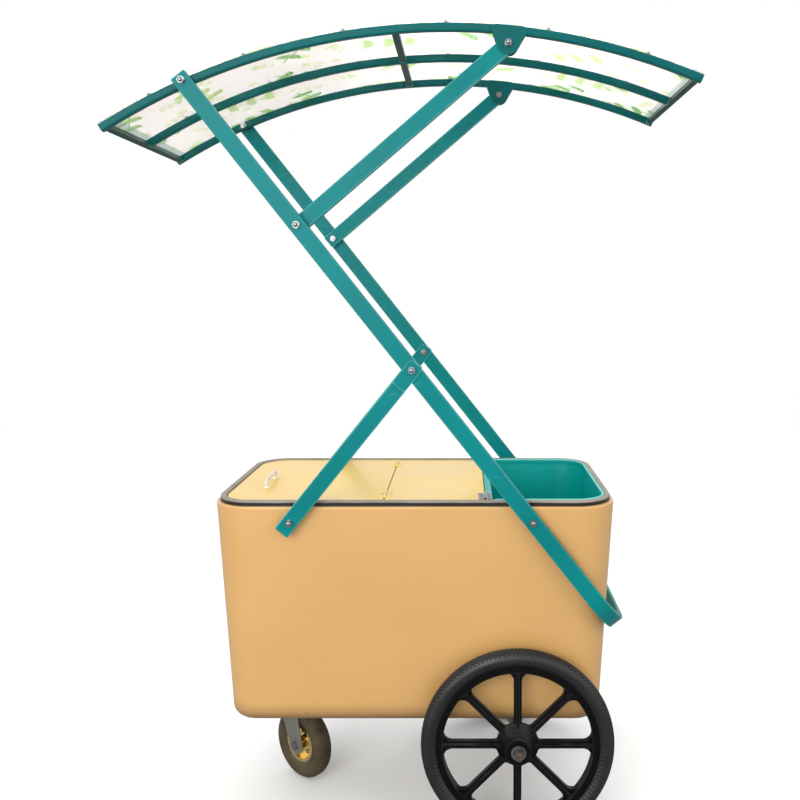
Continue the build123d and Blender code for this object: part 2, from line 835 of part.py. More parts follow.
def make_sheet_screws():
    """Low round screw heads that hold the sheet to the three rails."""
    span = canopy_left_angle + canopy_right_angle - 2 * arch_angle(rail_size)
    first = arch_angle(rail_size) - canopy_left_angle
    head = Cone(sheet_screw_radius, sheet_screw_radius / 2, sheet_screw_height)
    heads = []
    for y in (-rail_y, 0, rail_y):
        for index in range(sheet_screws_per_rail):
            angle = first + span * (index + 0.5) / sheet_screws_per_rail
            place = on_canopy(sheet_outer_radius + sheet_screw_height / 2, angle)
            heads.append(Pos(place[0], y, place[1]) * Rot(0, angle, 0) * head)
    return sum(heads[1:], heads[0])


# Spoked wheels

def wheel_window_cut():
    """Openings between the spokes, with rounded corners."""
    gaps = Circle(window_radius) - Circle(hub_window_radius)
    for index in range(spoke_count):
        spoke = Pos(window_radius / 2, 0) * Rectangle(window_radius * 2, spoke_width)
        gaps = gaps - Rot(0, 0, 90 + index * 360 / spoke_count) * spoke
    middle_radius = (window_radius + hub_window_radius) / 2
    rim_corners = gaps.vertices().filter_by(lambda corner: hypot(corner.X, corner.Y) > middle_radius)
    gaps = fillet(rim_corners, spoke_window_corner)
    reach = hub_window_radius + bore_margin
    hub_corners = gaps.vertices().filter_by(lambda corner: hypot(corner.X, corner.Y) < reach)
    gaps = fillet(hub_corners, hub_window_corner)
    return extrude(Plane.XZ * gaps, amount=bead_half_width + 2 * flange_thickness, both=True)


def make_wheel_casting(side):
    """One-piece wheel: hub, spokes and rim, about Y at the origin, outer side towards side."""
    rim_floor = bead_radius - fit_gap
    flange_in = bead_half_width + fit_gap
    flange_out = flange_in + flange_thickness
    flange_top = rim_floor + flange_height
    rim_outline = Polyline(
        (window_radius, -flange_out), (flange_top, -flange_out), (flange_top, -flange_in),
        (rim_floor, -flange_in), (rim_floor, flange_in),
        (flange_top, flange_in), (flange_top, flange_out), (window_radius, flange_out),
        close=True,
    )
    rim = revolve(make_face(rim_outline), Axis.Y)
    disc = y_rod(window_radius + fit_gap, -spoke_plate_thickness / 2, spoke_plate_thickness / 2, (0, 0))
    disc = disc - wheel_window_cut()
    rib_length = window_radius + fit_gap
    wheel = rim + disc
    half_depth = spoke_rib_depth / 2
    half_width = spoke_rib_width / 2
    rib = block((0, rib_length), (-half_depth, half_depth), (-half_width, half_width))
    for index in range(spoke_count):
        wheel = wheel + Rot(0, 90 + index * 360 / spoke_count, 0) * rib
    wheel = wheel + y_rod(hub_radius, -side * hub_inner_length, side * hub_outer_length, (0, 0))
    for face in (-1, 1):
        flare = Cone(hub_window_radius, hub_radius, hub_cone_height)
        middle = face * (spoke_plate_thickness + hub_cone_height) / 2
        wheel = wheel + Pos(0, middle, 0) * Rot(-90 * face, 0, 0) * flare
    bore = y_rod(hub_bore_radius, -side * hub_inner_length, side * hub_outer_length, (0, 0))
    wheel = wheel - bore
    for start, end in bearing_seats(side):
        wheel = wheel - y_rod(bearing_radius + pin_clearance, start, end, (0, 0))
    return wheel


def bearing_seats(side):
    """Y ranges of the two bearings at the ends of the hub."""
    inner = -side * hub_inner_length
    outer = side * hub_outer_length
    return (inner, inner + side * bearing_width), (outer - side * bearing_width, outer)


def make_wheel_bearings(side):
    rings = []
    for start, end in bearing_seats(side):
        outer = y_rod(bearing_radius, start, end, (0, 0))
        hole = y_bore(axle_radius, start, end, (0, 0))
        rings.append(outer - hole)
    return rings[0] + rings[1]


def tyre_section(radius, width, tread_half, shoulder_drop, bead, bead_half, flange, crown, bead_wall):
    """Half section of a hollow tyre in radius and axle distance, seated between the rim's flanges."""
    shoulder = radius - shoulder_drop
    neck = bead + flange
    belly = (neck + shoulder) / 2
    bead_inner = bead_half - bead_wall
    sides = [
        Line((bead, -bead_half), (neck, -bead_half)),
        ThreePointArc((neck, -bead_half), (belly, -width / 2), (shoulder, -tread_half)),
        ThreePointArc((shoulder, -tread_half), (radius, 0), (shoulder, tread_half)),
        ThreePointArc((shoulder, tread_half), (belly, width / 2), (neck, bead_half)),
        Line((neck, bead_half), (bead, bead_half)),
        Line((bead, bead_half), (bead, bead_inner)),
        Line((bead, bead_inner), (neck, bead_inner)),
        ThreePointArc((neck, bead_inner), (radius - crown, 0), (neck, -bead_inner)),
        Line((neck, -bead_inner), (bead, -bead_inner)),
        Line((bead, -bead_inner), (bead, -bead_half)),
    ]
    return make_face(sides)


def make_tyre():
    section = tyre_section(
        tyre_radius, tyre_width, tyre_tread_half_width, tyre_shoulder_drop, bead_radius, bead_half_width,
        flange_height, tyre_crown_thickness, tyre_bead_thickness,
    )
    return revolve(section, Axis.Y)


def at_wheel(side, shape):
    return Pos(wheel_x, side * wheel_y, wheel_z) * shape


axle_place = (wheel_x, wheel_z)
hub_outer_y = wheel_y + hub_outer_length
hub_inner_y = wheel_y - hub_inner_length


def make_axle():
    half = hub_outer_y + axle_washer_thickness + axle_nut_height + axle_tail
    return y_rod(axle_radius, -half, half, axle_place)


def make_axle_nuts():
    """Nut and washer at each end of the axle."""
    def nut(side):
        start = side * (hub_outer_y + fit_gap)
        middle = start + side * axle_washer_thickness
        end = middle + side * axle_nut_height
        body = y_rod(axle_washer_radius, start, middle, axle_place)
        body = body + y_hex(axle_nut_across, middle, end, axle_place)
        return body - y_bore(axle_radius, start, end, axle_place)
    return both_sides(nut)


def make_axle_collars():
    """Rings on the axle that keep the wheels away from the box."""
    def collar(side):
        end = side * (hub_inner_y - fit_gap)
        start = end - side * collar_width
        body = y_rod(collar_radius, start, end, axle_place)
        return body - y_bore(axle_radius, start, end, axle_place)
    return both_sides(collar)


def make_axle_brackets():
    """Feet under the box with an eye for the axle."""
    foot_z = box_bottom_z - bracket_foot_thickness
    top = Pos(wheel_x, foot_z) * Rectangle(bracket_web_top, bore_margin)
    eye = Pos(*axle_place) * Circle(bracket_eye_radius)
    web = make_hull([*top.edges(), *eye.edges()])

    def bracket(side):
        y = side * bracket_y
        foot = block(
            (wheel_x - bracket_foot_length / 2, wheel_x + bracket_foot_length / 2),
            (y - bracket_foot_width / 2, y + bracket_foot_width / 2),
            (foot_z, box_bottom_z),
        )
        body = foot + slab(web, bracket_web_thickness, y)
        reach = (y - bracket_foot_width, y + bracket_foot_width)
        return body - y_rod(axle_radius + pin_clearance, *reach, axle_place)
    return both_sides(bracket)


# Swivel caster, drawn with its trail along +X and then turned

caster_x = caster_end_distance - box_length / 2
caster_place = Pos(caster_x, 0, 0) * Rot(0, 0, -caster_turn)
caster_axle_place = (caster_trail, caster_tyre_radius)
leg_inner_y = caster_tyre_width / 2 + fork_leg_gap
caster_hub_half_length = leg_inner_y - fit_gap
crown_bottom_z = 2 * caster_tyre_radius + fork_crown_gap
crown_top_z = crown_bottom_z + fork_crown_thickness
top_plate_z = box_bottom_z - top_plate_thickness


def make_caster_fork():
    crown_middle = crown_top_z - fork_crown_thickness / 2
    top = Pos(0, crown_middle) * Rectangle(fork_leg_top_length, fork_crown_thickness)
    eye = Pos(*caster_axle_place) * Circle(fork_eye_radius)
    leg = make_hull([*top.edges(), *eye.edges()])
    middle = leg_inner_y + fork_leg_thickness / 2
    half = leg_inner_y + fork_leg_thickness
    legs = both_sides(lambda side: slab(leg, fork_leg_thickness, side * middle))
    crown = block(
        (-fork_leg_top_length / 2, fork_leg_top_length / 2), (-half, half), (crown_bottom_z, crown_top_z)
    )
    fork = legs + crown
    fork = fork - z_bore(kingpin_radius, crown_bottom_z, crown_top_z)
    return fork - y_rod(caster_axle_radius + pin_clearance, -2 * half, 2 * half, caster_axle_place)


def make_swivel_bearing():
    """Bearing housing between the fork's crown and the top plate."""
    housing = z_rod(swivel_radius, crown_top_z, top_plate_z - fit_gap)
    return housing - z_bore(kingpin_radius, crown_top_z, top_plate_z)


def make_top_plate():
    """Square plate under the box with the kingpin that the fork turns on."""
    outline = RectangleRounded(top_plate_size, top_plate_size, top_plate_corner)
    plate = extrude(Pos(0, 0, top_plate_z) * outline, amount=top_plate_thickness)
    head_top = crown_bottom_z - fit_gap
    pin = z_rod(kingpin_radius, head_top - kingpin_head_height, top_plate_z)
    return plate + pin + z_rod(kingpin_head_radius, head_top - kingpin_head_height, head_top)


def make_plate_bolts():
    """Four hexagon heads under the corners of the top plate."""
    head = RegularPolygon(plate_bolt_across / 2, 6, major_radius=False)
    half = plate_bolt_spacing / 2
    heads = [
        extrude(Pos(x, y, top_plate_z - plate_bolt_height) * head, amount=plate_bolt_height)
        for x in (-half, half)
        for y in (-half, half)
    ]
    return sum(heads[1:], heads[0])


def make_caster_axle():
    """Axle bolt of the caster wheel with its head and nut outside the fork."""
    face = leg_inner_y + fork_leg_thickness
    end = face + caster_axle_head_height
    rod = y_rod(caster_axle_radius, -end, end, caster_axle_place)

    def head(side):
        return y_hex(caster_axle_head_across, side * face, side * end, caster_axle_place)

    return rod + both_sides(head)


def make_caster_rim():
    """Pressed steel rim: a hub, a web and a channel for the tyre, about Y at the origin."""
    rim_floor = caster_bead_radius - fit_gap
    rim_inside = rim_floor - caster_rim_wall
    flange_in = caster_bead_half_width + fit_gap
    flange_out = flange_in + caster_flange_thickness
    flange_top = rim_floor + caster_flange_height
    web = caster_web_thickness / 2
    outline = Polyline(
        (caster_bearing_radius + pin_clearance, -caster_hub_half_length),
        (caster_hub_radius, -caster_hub_half_length), (caster_hub_radius, -web), (rim_inside, -web),
        (rim_inside, -flange_out), (flange_top, -flange_out), (flange_top, -flange_in),
        (rim_floor, -flange_in), (rim_floor, flange_in),
        (flange_top, flange_in), (flange_top, flange_out), (rim_inside, flange_out),
        (rim_inside, web), (caster_hub_radius, web), (caster_hub_radius, caster_hub_half_length),
        (caster_bearing_radius + pin_clearance, caster_hub_half_length),
        close=True,
    )
    return revolve(make_face(outline), Axis.Y)


def make_caster_bearings():
    def bearing(side):
        end = side * caster_hub_half_length
        start = end - side * caster_bearing_width
        body = y_rod(caster_bearing_radius, start, end, (0, 0))
        return body - y_bore(caster_axle_radius, start, end, (0, 0))
    return both_sides(bearing)


def make_caster_tyre():
    section = tyre_section(
        caster_tyre_radius, caster_tyre_width, caster_tread_half_width, caster_shoulder_drop,
        caster_bead_radius, caster_bead_half_width, caster_flange_height, tyre_crown_thickness,
        tyre_bead_thickness,
    )
    return revolve(section, Axis.Y)


def at_caster_wheel(shape):
    return caster_place * Pos(caster_trail, 0, caster_tyre_radius) * shape


def main():
    os.makedirs("parts", exist_ok=True)

    save("outer_shell", make_outer_shell())
    save("insulation_foam", make_insulation())
    save("pivot_backing_plates", make_backing_plates())
    save("inner_liner", make_liner())
    save("partition", make_partition())
    save("rim_trim", make_trim())
    save("lid_ledge", make_ledge())
    save("lid_gasket", make_gasket())

    for name in lid_spans:
        save(name, make_lid(name))
        save(f"{name}_core", make_lid_core(name))
    save("partition_hinge_fixed_leaves", hinge_leaves(partition_hinge_x, partition_hinge_offset, 1, True))
    save("partition_hinge_lid_leaves", hinge_leaves(partition_hinge_x, partition_hinge_offset, -1, False))
    save("partition_hinge_pins", hinge_pins(partition_hinge_x, partition_hinge_offset))
    save("seam_hinge_middle_leaves", hinge_leaves(seam_x, seam_hinge_offset, 1, True))
    save("seam_hinge_left_leaves", hinge_leaves(seam_x, seam_hinge_offset, -1, False))
    save("seam_hinge_pins", hinge_pins(seam_x, seam_hinge_offset))
    save("lid_handle", make_handle())

    save("main_frame", make_main_frame())
    save("pivot_spacers", make_pivot_spacers())
    save("pivot_bolts", make_pivot_bolts())
    save("stay_bolts", make_stay_bolts())
    save("canopy_pivot_bolts", make_canopy_bolts())
    for name, side in (("front", -1), ("rear", 1)):
        save(f"{name}_brace", make_brace(side))
        save(f"{name}_brace_fork_plates", make_fork_plates(side))
        save(f"{name}_brace_fork_bolts", make_fork_bolts(side))
        save(f"{name}_stay", make_stay(side))
        save(f"{name}_rail", make_side_rail(side * rail_y))
        save(f"{name}_wheel", at_wheel(side, make_wheel_casting(side)))
        save(f"{name}_wheel_bearings", at_wheel(side, make_wheel_bearings(side)))
        save(f"{name}_tyre", at_wheel(side, make_tyre()))
    save("middle_rail", make_middle_rail())
    save("canopy_end_bars", make_end_bars())
    save("canopy_crossbars", make_crossbars())
    save("canopy_sheet", make_sheet())
    save("stay_brackets", make_brackets())
    save("stay_bracket_bolts", make_bracket_bolts())
    save("sheet_screws", make_sheet_screws())

    save("axle", make_axle())
    save("axle_nuts", make_axle_nuts())
    save("axle_collars", make_axle_collars())
    save("axle_brackets", make_axle_brackets())

    save("caster_top_plate", caster_place * make_top_plate())
    save("caster_plate_bolts", caster_place * make_plate_bolts())
    save("caster_fork", caster_place * make_caster_fork())
    save("caster_swivel_bearing", caster_place * make_swivel_bearing())
    save("caster_axle_bolt", caster_place * make_caster_axle())
    save("caster_rim", at_caster_wheel(make_caster_rim()))
    save("caster_wheel_bearings", at_caster_wheel(make_caster_bearings()))
    save("caster_tyre", at_caster_wheel(make_caster_tyre()))


if __name__ == "__main__":
    main()
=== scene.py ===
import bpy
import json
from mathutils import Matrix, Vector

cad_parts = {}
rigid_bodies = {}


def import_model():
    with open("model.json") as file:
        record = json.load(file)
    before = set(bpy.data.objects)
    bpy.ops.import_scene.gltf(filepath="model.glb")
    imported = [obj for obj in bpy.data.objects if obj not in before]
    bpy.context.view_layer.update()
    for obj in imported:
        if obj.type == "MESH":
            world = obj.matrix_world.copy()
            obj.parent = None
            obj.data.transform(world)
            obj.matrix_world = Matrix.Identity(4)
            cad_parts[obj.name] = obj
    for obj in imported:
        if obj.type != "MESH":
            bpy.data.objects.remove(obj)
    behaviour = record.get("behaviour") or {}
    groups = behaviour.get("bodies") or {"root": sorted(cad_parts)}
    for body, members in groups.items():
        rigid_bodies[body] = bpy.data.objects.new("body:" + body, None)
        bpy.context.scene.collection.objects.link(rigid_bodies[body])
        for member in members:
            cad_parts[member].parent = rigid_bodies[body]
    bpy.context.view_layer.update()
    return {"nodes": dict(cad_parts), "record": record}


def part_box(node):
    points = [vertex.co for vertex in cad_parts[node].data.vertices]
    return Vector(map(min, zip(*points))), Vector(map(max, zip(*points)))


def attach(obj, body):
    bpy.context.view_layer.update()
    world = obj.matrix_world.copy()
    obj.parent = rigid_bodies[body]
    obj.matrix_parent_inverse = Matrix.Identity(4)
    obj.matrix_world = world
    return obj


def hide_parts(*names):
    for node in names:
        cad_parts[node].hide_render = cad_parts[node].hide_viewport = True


bl_info = {
    "name": "Insulated Cart",
    "version": (1, 0, 0),
    "blender": (4, 5, 0),
    "location": "View3D > Sidebar > Cart",
    "description": "Finishes and fine pieces of an insulated cart with a folding canopy",
    "category": "Object",
}

import json

import bmesh
import bpy
import numpy as np
from bpy.props import FloatProperty, FloatVectorProperty, IntProperty, PointerProperty

for leftover in list(bpy.data.objects):
    bpy.data.objects.remove(leftover, do_unlink=True)

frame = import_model()
TURN = 2 * np.pi
QUARTER = np.pi / 2

# Sizes and angles repeated from the part's source, in metres and radians

CANOPY_CENTRE = np.array((0.115373, 0.0, 0.416680))
CANOPY_LEFT = np.radians(-31.7)
CANOPY_RIGHT = np.radians(22.5)
RAIL_OUTER = 1.613
RAIL_SIZE = 0.020
RAIL_MIDDLE = RAIL_OUTER - RAIL_SIZE / 2
RAIL_OFFSETS = (-0.2785, 0.0, 0.2785)
BAR_DROP = 0.0015
BAR_HEIGHT = 0.016
CROSSBAR_WIDTH = 0.018
END_BAR_WIDTH = 0.014
END_BAR_INSET = 0.004
TRIM_WIDTH = 0.016
TRIM_CORNER = 0.095
HINGE_HALF = 0.032
HINGE_LEAF = 0.0015
CASTER_TURN = np.radians(40.0)
CASTER_WEB_HALF = 0.002

# Bars across the canopy, each with its angle, its width and whether it meets the middle rail

END_BAR_ANGLE = (END_BAR_INSET + END_BAR_WIDTH / 2) / RAIL_MIDDLE
RAIL_STOP_ANGLE = (END_BAR_INSET + END_BAR_WIDTH) / RAIL_MIDDLE
BARS = (
    (CANOPY_LEFT + END_BAR_ANGLE, END_BAR_WIDTH, False),
    ((CANOPY_LEFT + CANOPY_RIGHT) / 2, CROSSBAR_WIDTH, True),
    (CANOPY_RIGHT - END_BAR_ANGLE, END_BAR_WIDTH, False),
)

# Tyres: the section and the tread's rows on each side of the middle

ROAD_SECTION = {
    "half_width": 0.025, "waist_drop": 0.020, "neck": 0.2093, "neck_half": 0.012, "bead": 0.203,
    "squareness": 2.2,
}
ROAD_ROWS = {"row_pitch": 0.0052, "row_count": 4}
CASTER_SECTION = {
    "half_width": 0.025, "waist_drop": 0.022, "neck": 0.0546, "neck_half": 0.015, "bead": 0.049,
    "squareness": 2.4,
}
CASTER_ROWS = {"row_pitch": 0.0066, "row_count": 3}

# Grooves of the treads as shares of a pitch: from the middle to the floor's edge and to the block's top

ROW_GROOVE = (0.13, 0.26)
CROSS_GROOVE = (0.07, 0.14)

# Small pieces: lengths in metres, an angle in radians, and counts and shares as plain numbers

RIM_BOLTS = 5
RIM_BOLT_CIRCLE = 0.031
RIM_BOLT_START = 0.3
RIM_BOLT_ACROSS = 0.009
RIM_BOLT_HEIGHT = 0.0045
SCREW_SPACING = 0.022
SCREW_EDGE = 0.0065
LIP_DROP = 0.0032
LIP_OVERLAP = 0.8
LIP_RIPPLE = 3.0
BAND_DROP = 0.0092
BAND_HEIGHT = 0.014
BAND_THICKNESS = 0.0008
FILM_LIFT = 0.0016
FILM_RIPPLE = 0.25
FILM_WAVES = (21, 17)
WELD_RIPPLE = 2.2
WELD_SINK = 0.25
BAR_WELD = 0.75
BRACKET_WELD = 0.8
BRACKET_WELD_END = 0.012
BRACKET_WELD_DROP = 0.0016
BRACKET_WELD_OUT = 0.0012
RAIL_END_WELD = 0.9

# Surfaces: points along and round the grids, the distance under which points are one, and a rounding guard

FILM_POINTS = (221, 65)
WELD_POINTS = 96
BRACKET_WELD_POINTS = 90
BEAD_POINTS = 10
TYRE_SIDE_POINTS = 6
CAP_POINTS = 24
CAP_RISE_POINTS = 7
THREAD_POINTS = 56
LIP_SIDE_POINTS = 60
LIP_BEND_POINTS = 25
FLOOR_POINTS = 9
ROUND_POINTS = 32
MERGE_DISTANCE = 2e-6
ROUNDING_GUARD = 1e-6

# Finishes: plain scene-linear colours, and where the borders between colours lie

MOULDED_DUST = (0.55, 0.52, 0.47)
PAINT_DUST = (0.5, 0.5, 0.47)
FILM_DUST = (0.5, 0.48, 0.44)
RUBBER_DUST = (0.32, 0.3, 0.27)
ZINC_RUB = (0.5, 0.5, 0.5)
# Painted shade: how far up from the shell's lowest point its colour darkens along the bottom edge
BOTTOM_SHADE_RISE = 0.062
# Share of the trim's height above which its top gets a painted highlight, and the blur of that border
TRIM_SHEEN_SPLIT = 0.66
TRIM_SHEEN_BORDER = (-0.0006, 0.0022)
LEFT_HEM = 0.035
RIGHT_HEM = 0.03

# CAD nodes with a finish of their own in place of their slot's

OWN_FINISH = {
    "painted_hinge": ("seam_hinge_middle_leaves", "seam_hinge_left_leaves", "seam_hinge_pins"),
    "handle": ("lid_handle",),
    # The canopy's bars take a darker teal, a painted shade
    "canopy_bars": ("canopy_end_bars", "canopy_crossbars"),
    # The canopy's rails and stay brackets take a darker teal, a painted shade
    "canopy_rails": ("front_rail", "middle_rail", "rear_rail", "stay_brackets"),
    "axle": ("axle",),
    "axle_nuts": ("axle_nuts",),
}

# Studio: each lamp's name, place, size and share of the key light's power, and where the sky's light fades

LAMPS = (
    ("key", (-1.6, -4.4, 2.4), 3.0, 1.0),
    ("fill", (3.4, -3.0, 2.6), 2.6, 0.26),
    ("rear", (0.6, 3.4, 4.2), 2.6, 0.31),
)
LAMP_AIM = (0.0, 0.0, 1.0)
HORIZON = (-0.35, 0.05)
SENSOR_WIDTH = 36.0


# Values that a user would change


def screen_colour(red, green, blue):
    """Scene-linear colour of a screen colour given from 0 to 255."""
    screen = np.array((red, green, blue)) / 255
    linear = np.where(screen <= 0.04045, screen / 12.92, ((screen + 0.055) / 1.055) ** 2.4)
    return tuple(float(part) for part in linear)


def colour(name, description, *screen):
    """Colour property with its default given as a screen colour."""
    default = screen_colour(*screen)
    return FloatVectorProperty(
        name=name, description=description, subtype="COLOR", size=3, min=0, max=1, default=default
    )


def number(name, description, default, **settings):
    """Number property."""
    return FloatProperty(name=name, description=description, default=default, **settings)


def whole_number(name, description, default):
    """Property for a count."""
    return IntProperty(name=name, description=description, default=default, min=12)


def length(name, description, default):
    """Length property in metres."""
    return number(name, description, default, min=0, unit="LENGTH")


class CartColours(bpy.types.PropertyGroup):
    """Colours of the cart's finishes."""

    shell: colour("Shell", "Moulded outside of the box", 206, 160, 98)
    lid: colour("Lids", "Moulded lid leaves", 232, 192, 94)
    liner: colour("Liner", "Inside of the box", 0, 158, 152)
    frame: colour("Frame", "Paint of the tubes and plates", 2, 119, 120)
    # Painted shade: a darker copy of the frame's teal for the rails and brackets under the canopy
    canopy_rails: colour("Canopy rails", "Paint of the rails and their brackets", 3, 90, 90)
    # Painted shade: a darker copy of the frame's teal for the bars that lie in the canopy's shade
    canopy_bars: colour("Canopy bars", "Paint of the bars across the canopy", 6, 62, 58)
    # Lighter teal along the tubes' edges: worn paint and a painted highlight
    frame_rub_and_highlight: colour("Frame edges", "Paint rubbed thin on the tubes' edges", 120, 205, 205)
    trim: colour("Edge trim", "Rubber trim in its lower half", 20, 18, 17)
    # Painted highlight: the lighter grey on the trim's top stands for the light it catches
    trim_painted_sheen: colour("Edge trim top", "Dusty upper half of the rubber trim", 142, 134, 122)
    wheel: colour("Wheel", "Cast spokes and rims", 5, 5, 6)
    # Painted highlight: lighter edges on the black spokes and rims; the same colour marks scratches
    wheel_highlight_and_scratches: colour("Wheel edges", "Cast edges rubbed lighter", 50, 51, 53)
    tyre: colour("Tyre", "Rubber of the large tyres", 15, 15, 16)
    caster_tyre: colour("Caster tyre", "Rubber of the small tyre", 76, 66, 48)
    gold: colour("Caster rim", "Yellow plated rim", 248, 220, 150)
    steel: colour("Bolts", "Bright plated steel", 140, 143, 147)
    # Painted highlight: a lighter copy of the liner's teal for the bead along the bin's edge
    bin_lip: colour("Bin lip", "Bead inside the bin's edge", 96, 196, 188)
    axle: colour("Axle", "Tarnished axle and its threads", 132, 108, 92)
    painted_hinge: colour("Painted hinges", "Hinges painted like the lids", 226, 190, 122)
    handle: colour("Handle", "Pale lid handle", 216, 206, 190)
    zinc: colour("Brackets", "Grey plated brackets and fork", 138, 138, 127)
    foam: colour("Foam", "Insulating foam", 236, 224, 190)
    film: colour("Canopy film", "Ground colour of the printed sheet", 253, 249, 246)
    hem: colour("Hem", "Tinted hem at the ends of the printed sheet", 150, 176, 166)
    sprig: colour("Sprigs", "Printed sprigs", 120, 188, 100)
    dot: colour("Dots", "Printed dots", 206, 224, 160)
    floor: colour("Floor", "Studio floor", 250, 250, 249)


class CartSizes(bpy.types.PropertyGroup):
    """Sizes of the fine pieces."""

    tread_depth: length("Tread depth", "Depth of the large tyres' tread", 0.0026)
    tread_pitches: whole_number("Tread pitches", "Tread blocks round a large tyre", 132)
    caster_tread_depth: length("Caster tread depth", "Depth of the small tyre's tread", 0.002)
    caster_pitches: whole_number("Caster pitches", "Tread blocks round the small tyre", 44)
    dome_radius: length("Dome radius", "Radius of the domed bolt caps", 0.0062)
    dome_height: length("Dome height", "Height of the domed bolt caps", 0.0045)
    screw_radius: length("Screw radius", "Radius of the hinge screws' heads", 0.0032)
    weld_radius: length("Weld radius", "Half thickness of the weld beads", 0.0019)
    thread_pitch: length("Thread pitch", "Pitch of the axle's thread", 0.002)
    film_thickness: length("Film thickness", "Thickness of the canopy film", 0.0024)
    film_sag: length("Film sag", "Sag of the film between the rails", 0.0025)
    lip_radius: length("Lip radius", "Half thickness of the bead inside the bin's edge", 0.0032)


class CartStage(bpy.types.PropertyGroup):
    """Camera and light."""

    camera_place: FloatVectorProperty(
        name="Camera place", description="Where the camera stands", subtype="TRANSLATION",
        default=(0.15656, -2.39552, 1.39438),
    )
    camera_tilt: number(
        "Camera tilt", "Turn of the camera up from straight down", float(np.radians(85.69)), subtype="ANGLE"
    )
    lens: number("Lens", "Focal length on a 36 mm sensor", 38.62, unit="CAMERA")
    shift_across: number("Shift across", "Sideways shift of the frame", -0.0815)
    shift_up: number("Shift up", "Upward shift of the frame", -0.059)
    sky: number("Sky", "Strength of the even light from above", 1.05)
    floor_reach: length("Floor reach", "Half size of the floor", 6.0)
    ground: number("Ground", "Strength of the even light from below", 0.1)
    bounce: number("Bounce", "Share of the floor's brightness that lights the cart", 0.35)
    key: number("Key light", "Power of the large light", 130.0, unit="POWER")


# Meshes


def corners_of(name):
    """Low and high corner of a CAD node's box."""
    low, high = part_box(name)
    return np.array(low), np.array(high)


def middle_of(name):
    """Middle of a CAD node's box."""
    low, high = corners_of(name)
    return (low + high) / 2


def grid_quads(rows, columns, close_rows=False, close_columns=False):
    """Quads between neighbours on a grid, joined end to end along the closed directions."""
    row = np.arange(rows if close_rows else rows - 1)
    column = np.arange(columns if close_columns else columns - 1)
    a, b = (index.ravel() for index in np.meshgrid(row, column, indexing="ij"))
    after_a = (a + 1) % rows
    after_b = (b + 1) % columns
    corners = (a * columns + b, after_a * columns + b, after_a * columns + after_b, a * columns + after_b)
    return np.stack(corners, axis=-1)


def new_piece(name, surfaces, body, slot, finish=None, sharp=40.0, replaced=()):
    """Piece from closed grids (points, close_rows, close_columns), its poles merged and its faces outward."""
    points = []
    quads = []
    count = 0
    for grid, close_rows, close_columns in surfaces:
        rows, columns = grid.shape[:2]
        points.append(grid.reshape(-1, 3))
        quads.append(grid_quads(rows, columns, close_rows, close_columns) + count)
        count += rows * columns
    mesh = bpy.data.meshes.new(name)
    mesh.from_pydata(np.concatenate(points), [], np.concatenate(quads))
    work = bmesh.new()
    work.from_mesh(mesh)
    bmesh.ops.remove_doubles(work, verts=work.verts, dist=MERGE_DISTANCE)
    bmesh.ops.recalc_face_normals(work, faces=work.faces)
    work.to_mesh(mesh)
    work.free()
    return place_piece(name, mesh, body, finish or slot, sharp, replaced)


def put(name, data):
    """Object in the scene for a mesh, a light or a camera."""
    made = bpy.data.objects.new(name, data)
    bpy.context.scene.collection.objects.link(made)
    return made


def place_piece(name, mesh, body, finish, sharp, replaced):
    """Object for a mesh whose place is in its points, riding on a body."""
    mesh.shade_smooth()
    mesh.set_sharp_from_angle(angle=np.radians(sharp))
    mesh.materials.append(finish_of(finish))
    piece = put(name, mesh)
    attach(piece, body)
    if replaced:
        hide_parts(*replaced)
    return piece


def cross_axes(axis):
    """Unit axis and two unit directions square to it."""
    axis = np.asarray(axis, float)
    axis = axis / np.linalg.norm(axis)
    helper = np.array((0.0, 0.0, 1.0)) if abs(axis[2]) < 0.9 else np.array((1.0, 0.0, 0.0))
    first = np.cross(helper, axis)
    first = first / np.linalg.norm(first)
    return axis, first, np.cross(axis, first)


def turned(radius, along, turns, centre, axis):
    """Surface of revolution: at each turn angle the point lies radius out from the axis and along it."""
    axis, first, second = cross_axes(axis)
    out = np.cos(turns)[:, None, None] * first + np.sin(turns)[:, None, None] * second
    radius, along = np.broadcast_arrays(radius, along)
    return np.asarray(centre) + radius[..., None] * out + along[..., None] * axis


def even_turns(count):
    """Evenly spaced turn angles of a full circle."""
    return np.linspace(0, TURN, count, endpoint=False)


# Shader parts


def is_socket(value):
    """Whether a value is a node's socket."""
    return isinstance(value, bpy.types.NodeSocket)


def fill(made, inputs):
    """Set a node's inputs, given as values or as sockets to link."""
    for key, value in inputs.items():
        if is_socket(value):
            made.id_data.links.new(value, made.inputs[key])
        else:
            made.inputs[key].default_value = value


def node(kind, inputs, tree=None, **settings):
    """Outputs of a shader node, made in a given tree or in the one that its linked inputs come from."""
    if tree is None:
        tree = next(value.id_data for value in inputs.values() if is_socket(value))
    made = tree.nodes.new("ShaderNode" + kind)
    for key, value in settings.items():
        setattr(made, key, value)
    fill(made, inputs)
    return made.outputs


def placed(name, **inputs):
    """Outputs of a shader group, its inputs given in lower case."""
    inputs = {key.title(): value for key, value in inputs.items()}
    return node("Group", inputs, node_tree=bpy.data.node_groups[name])


def math(operation, *values):
    """Output of one Math node."""
    return node("Math", dict(enumerate(values)), operation=operation)[0]


def times(first, second):
    """Product of two values."""
    return math("MULTIPLY", first, second)


def inverse(value):
    """One minus a value."""
    return math("SUBTRACT", 1.0, value)


def added(value, *masks):
    """Value with a share of each mask added to it."""
    for mask, share in masks:
        value = math("MULTIPLY_ADD", mask, share, value)
    return value


def ramp(value, low, high):
    """Smooth step of a value from 0 at low to 1 at high."""
    inputs = {"Value": value, "From Min": low, "From Max": high}
    return node("MapRange", inputs, interpolation_type="SMOOTHSTEP")["Result"]


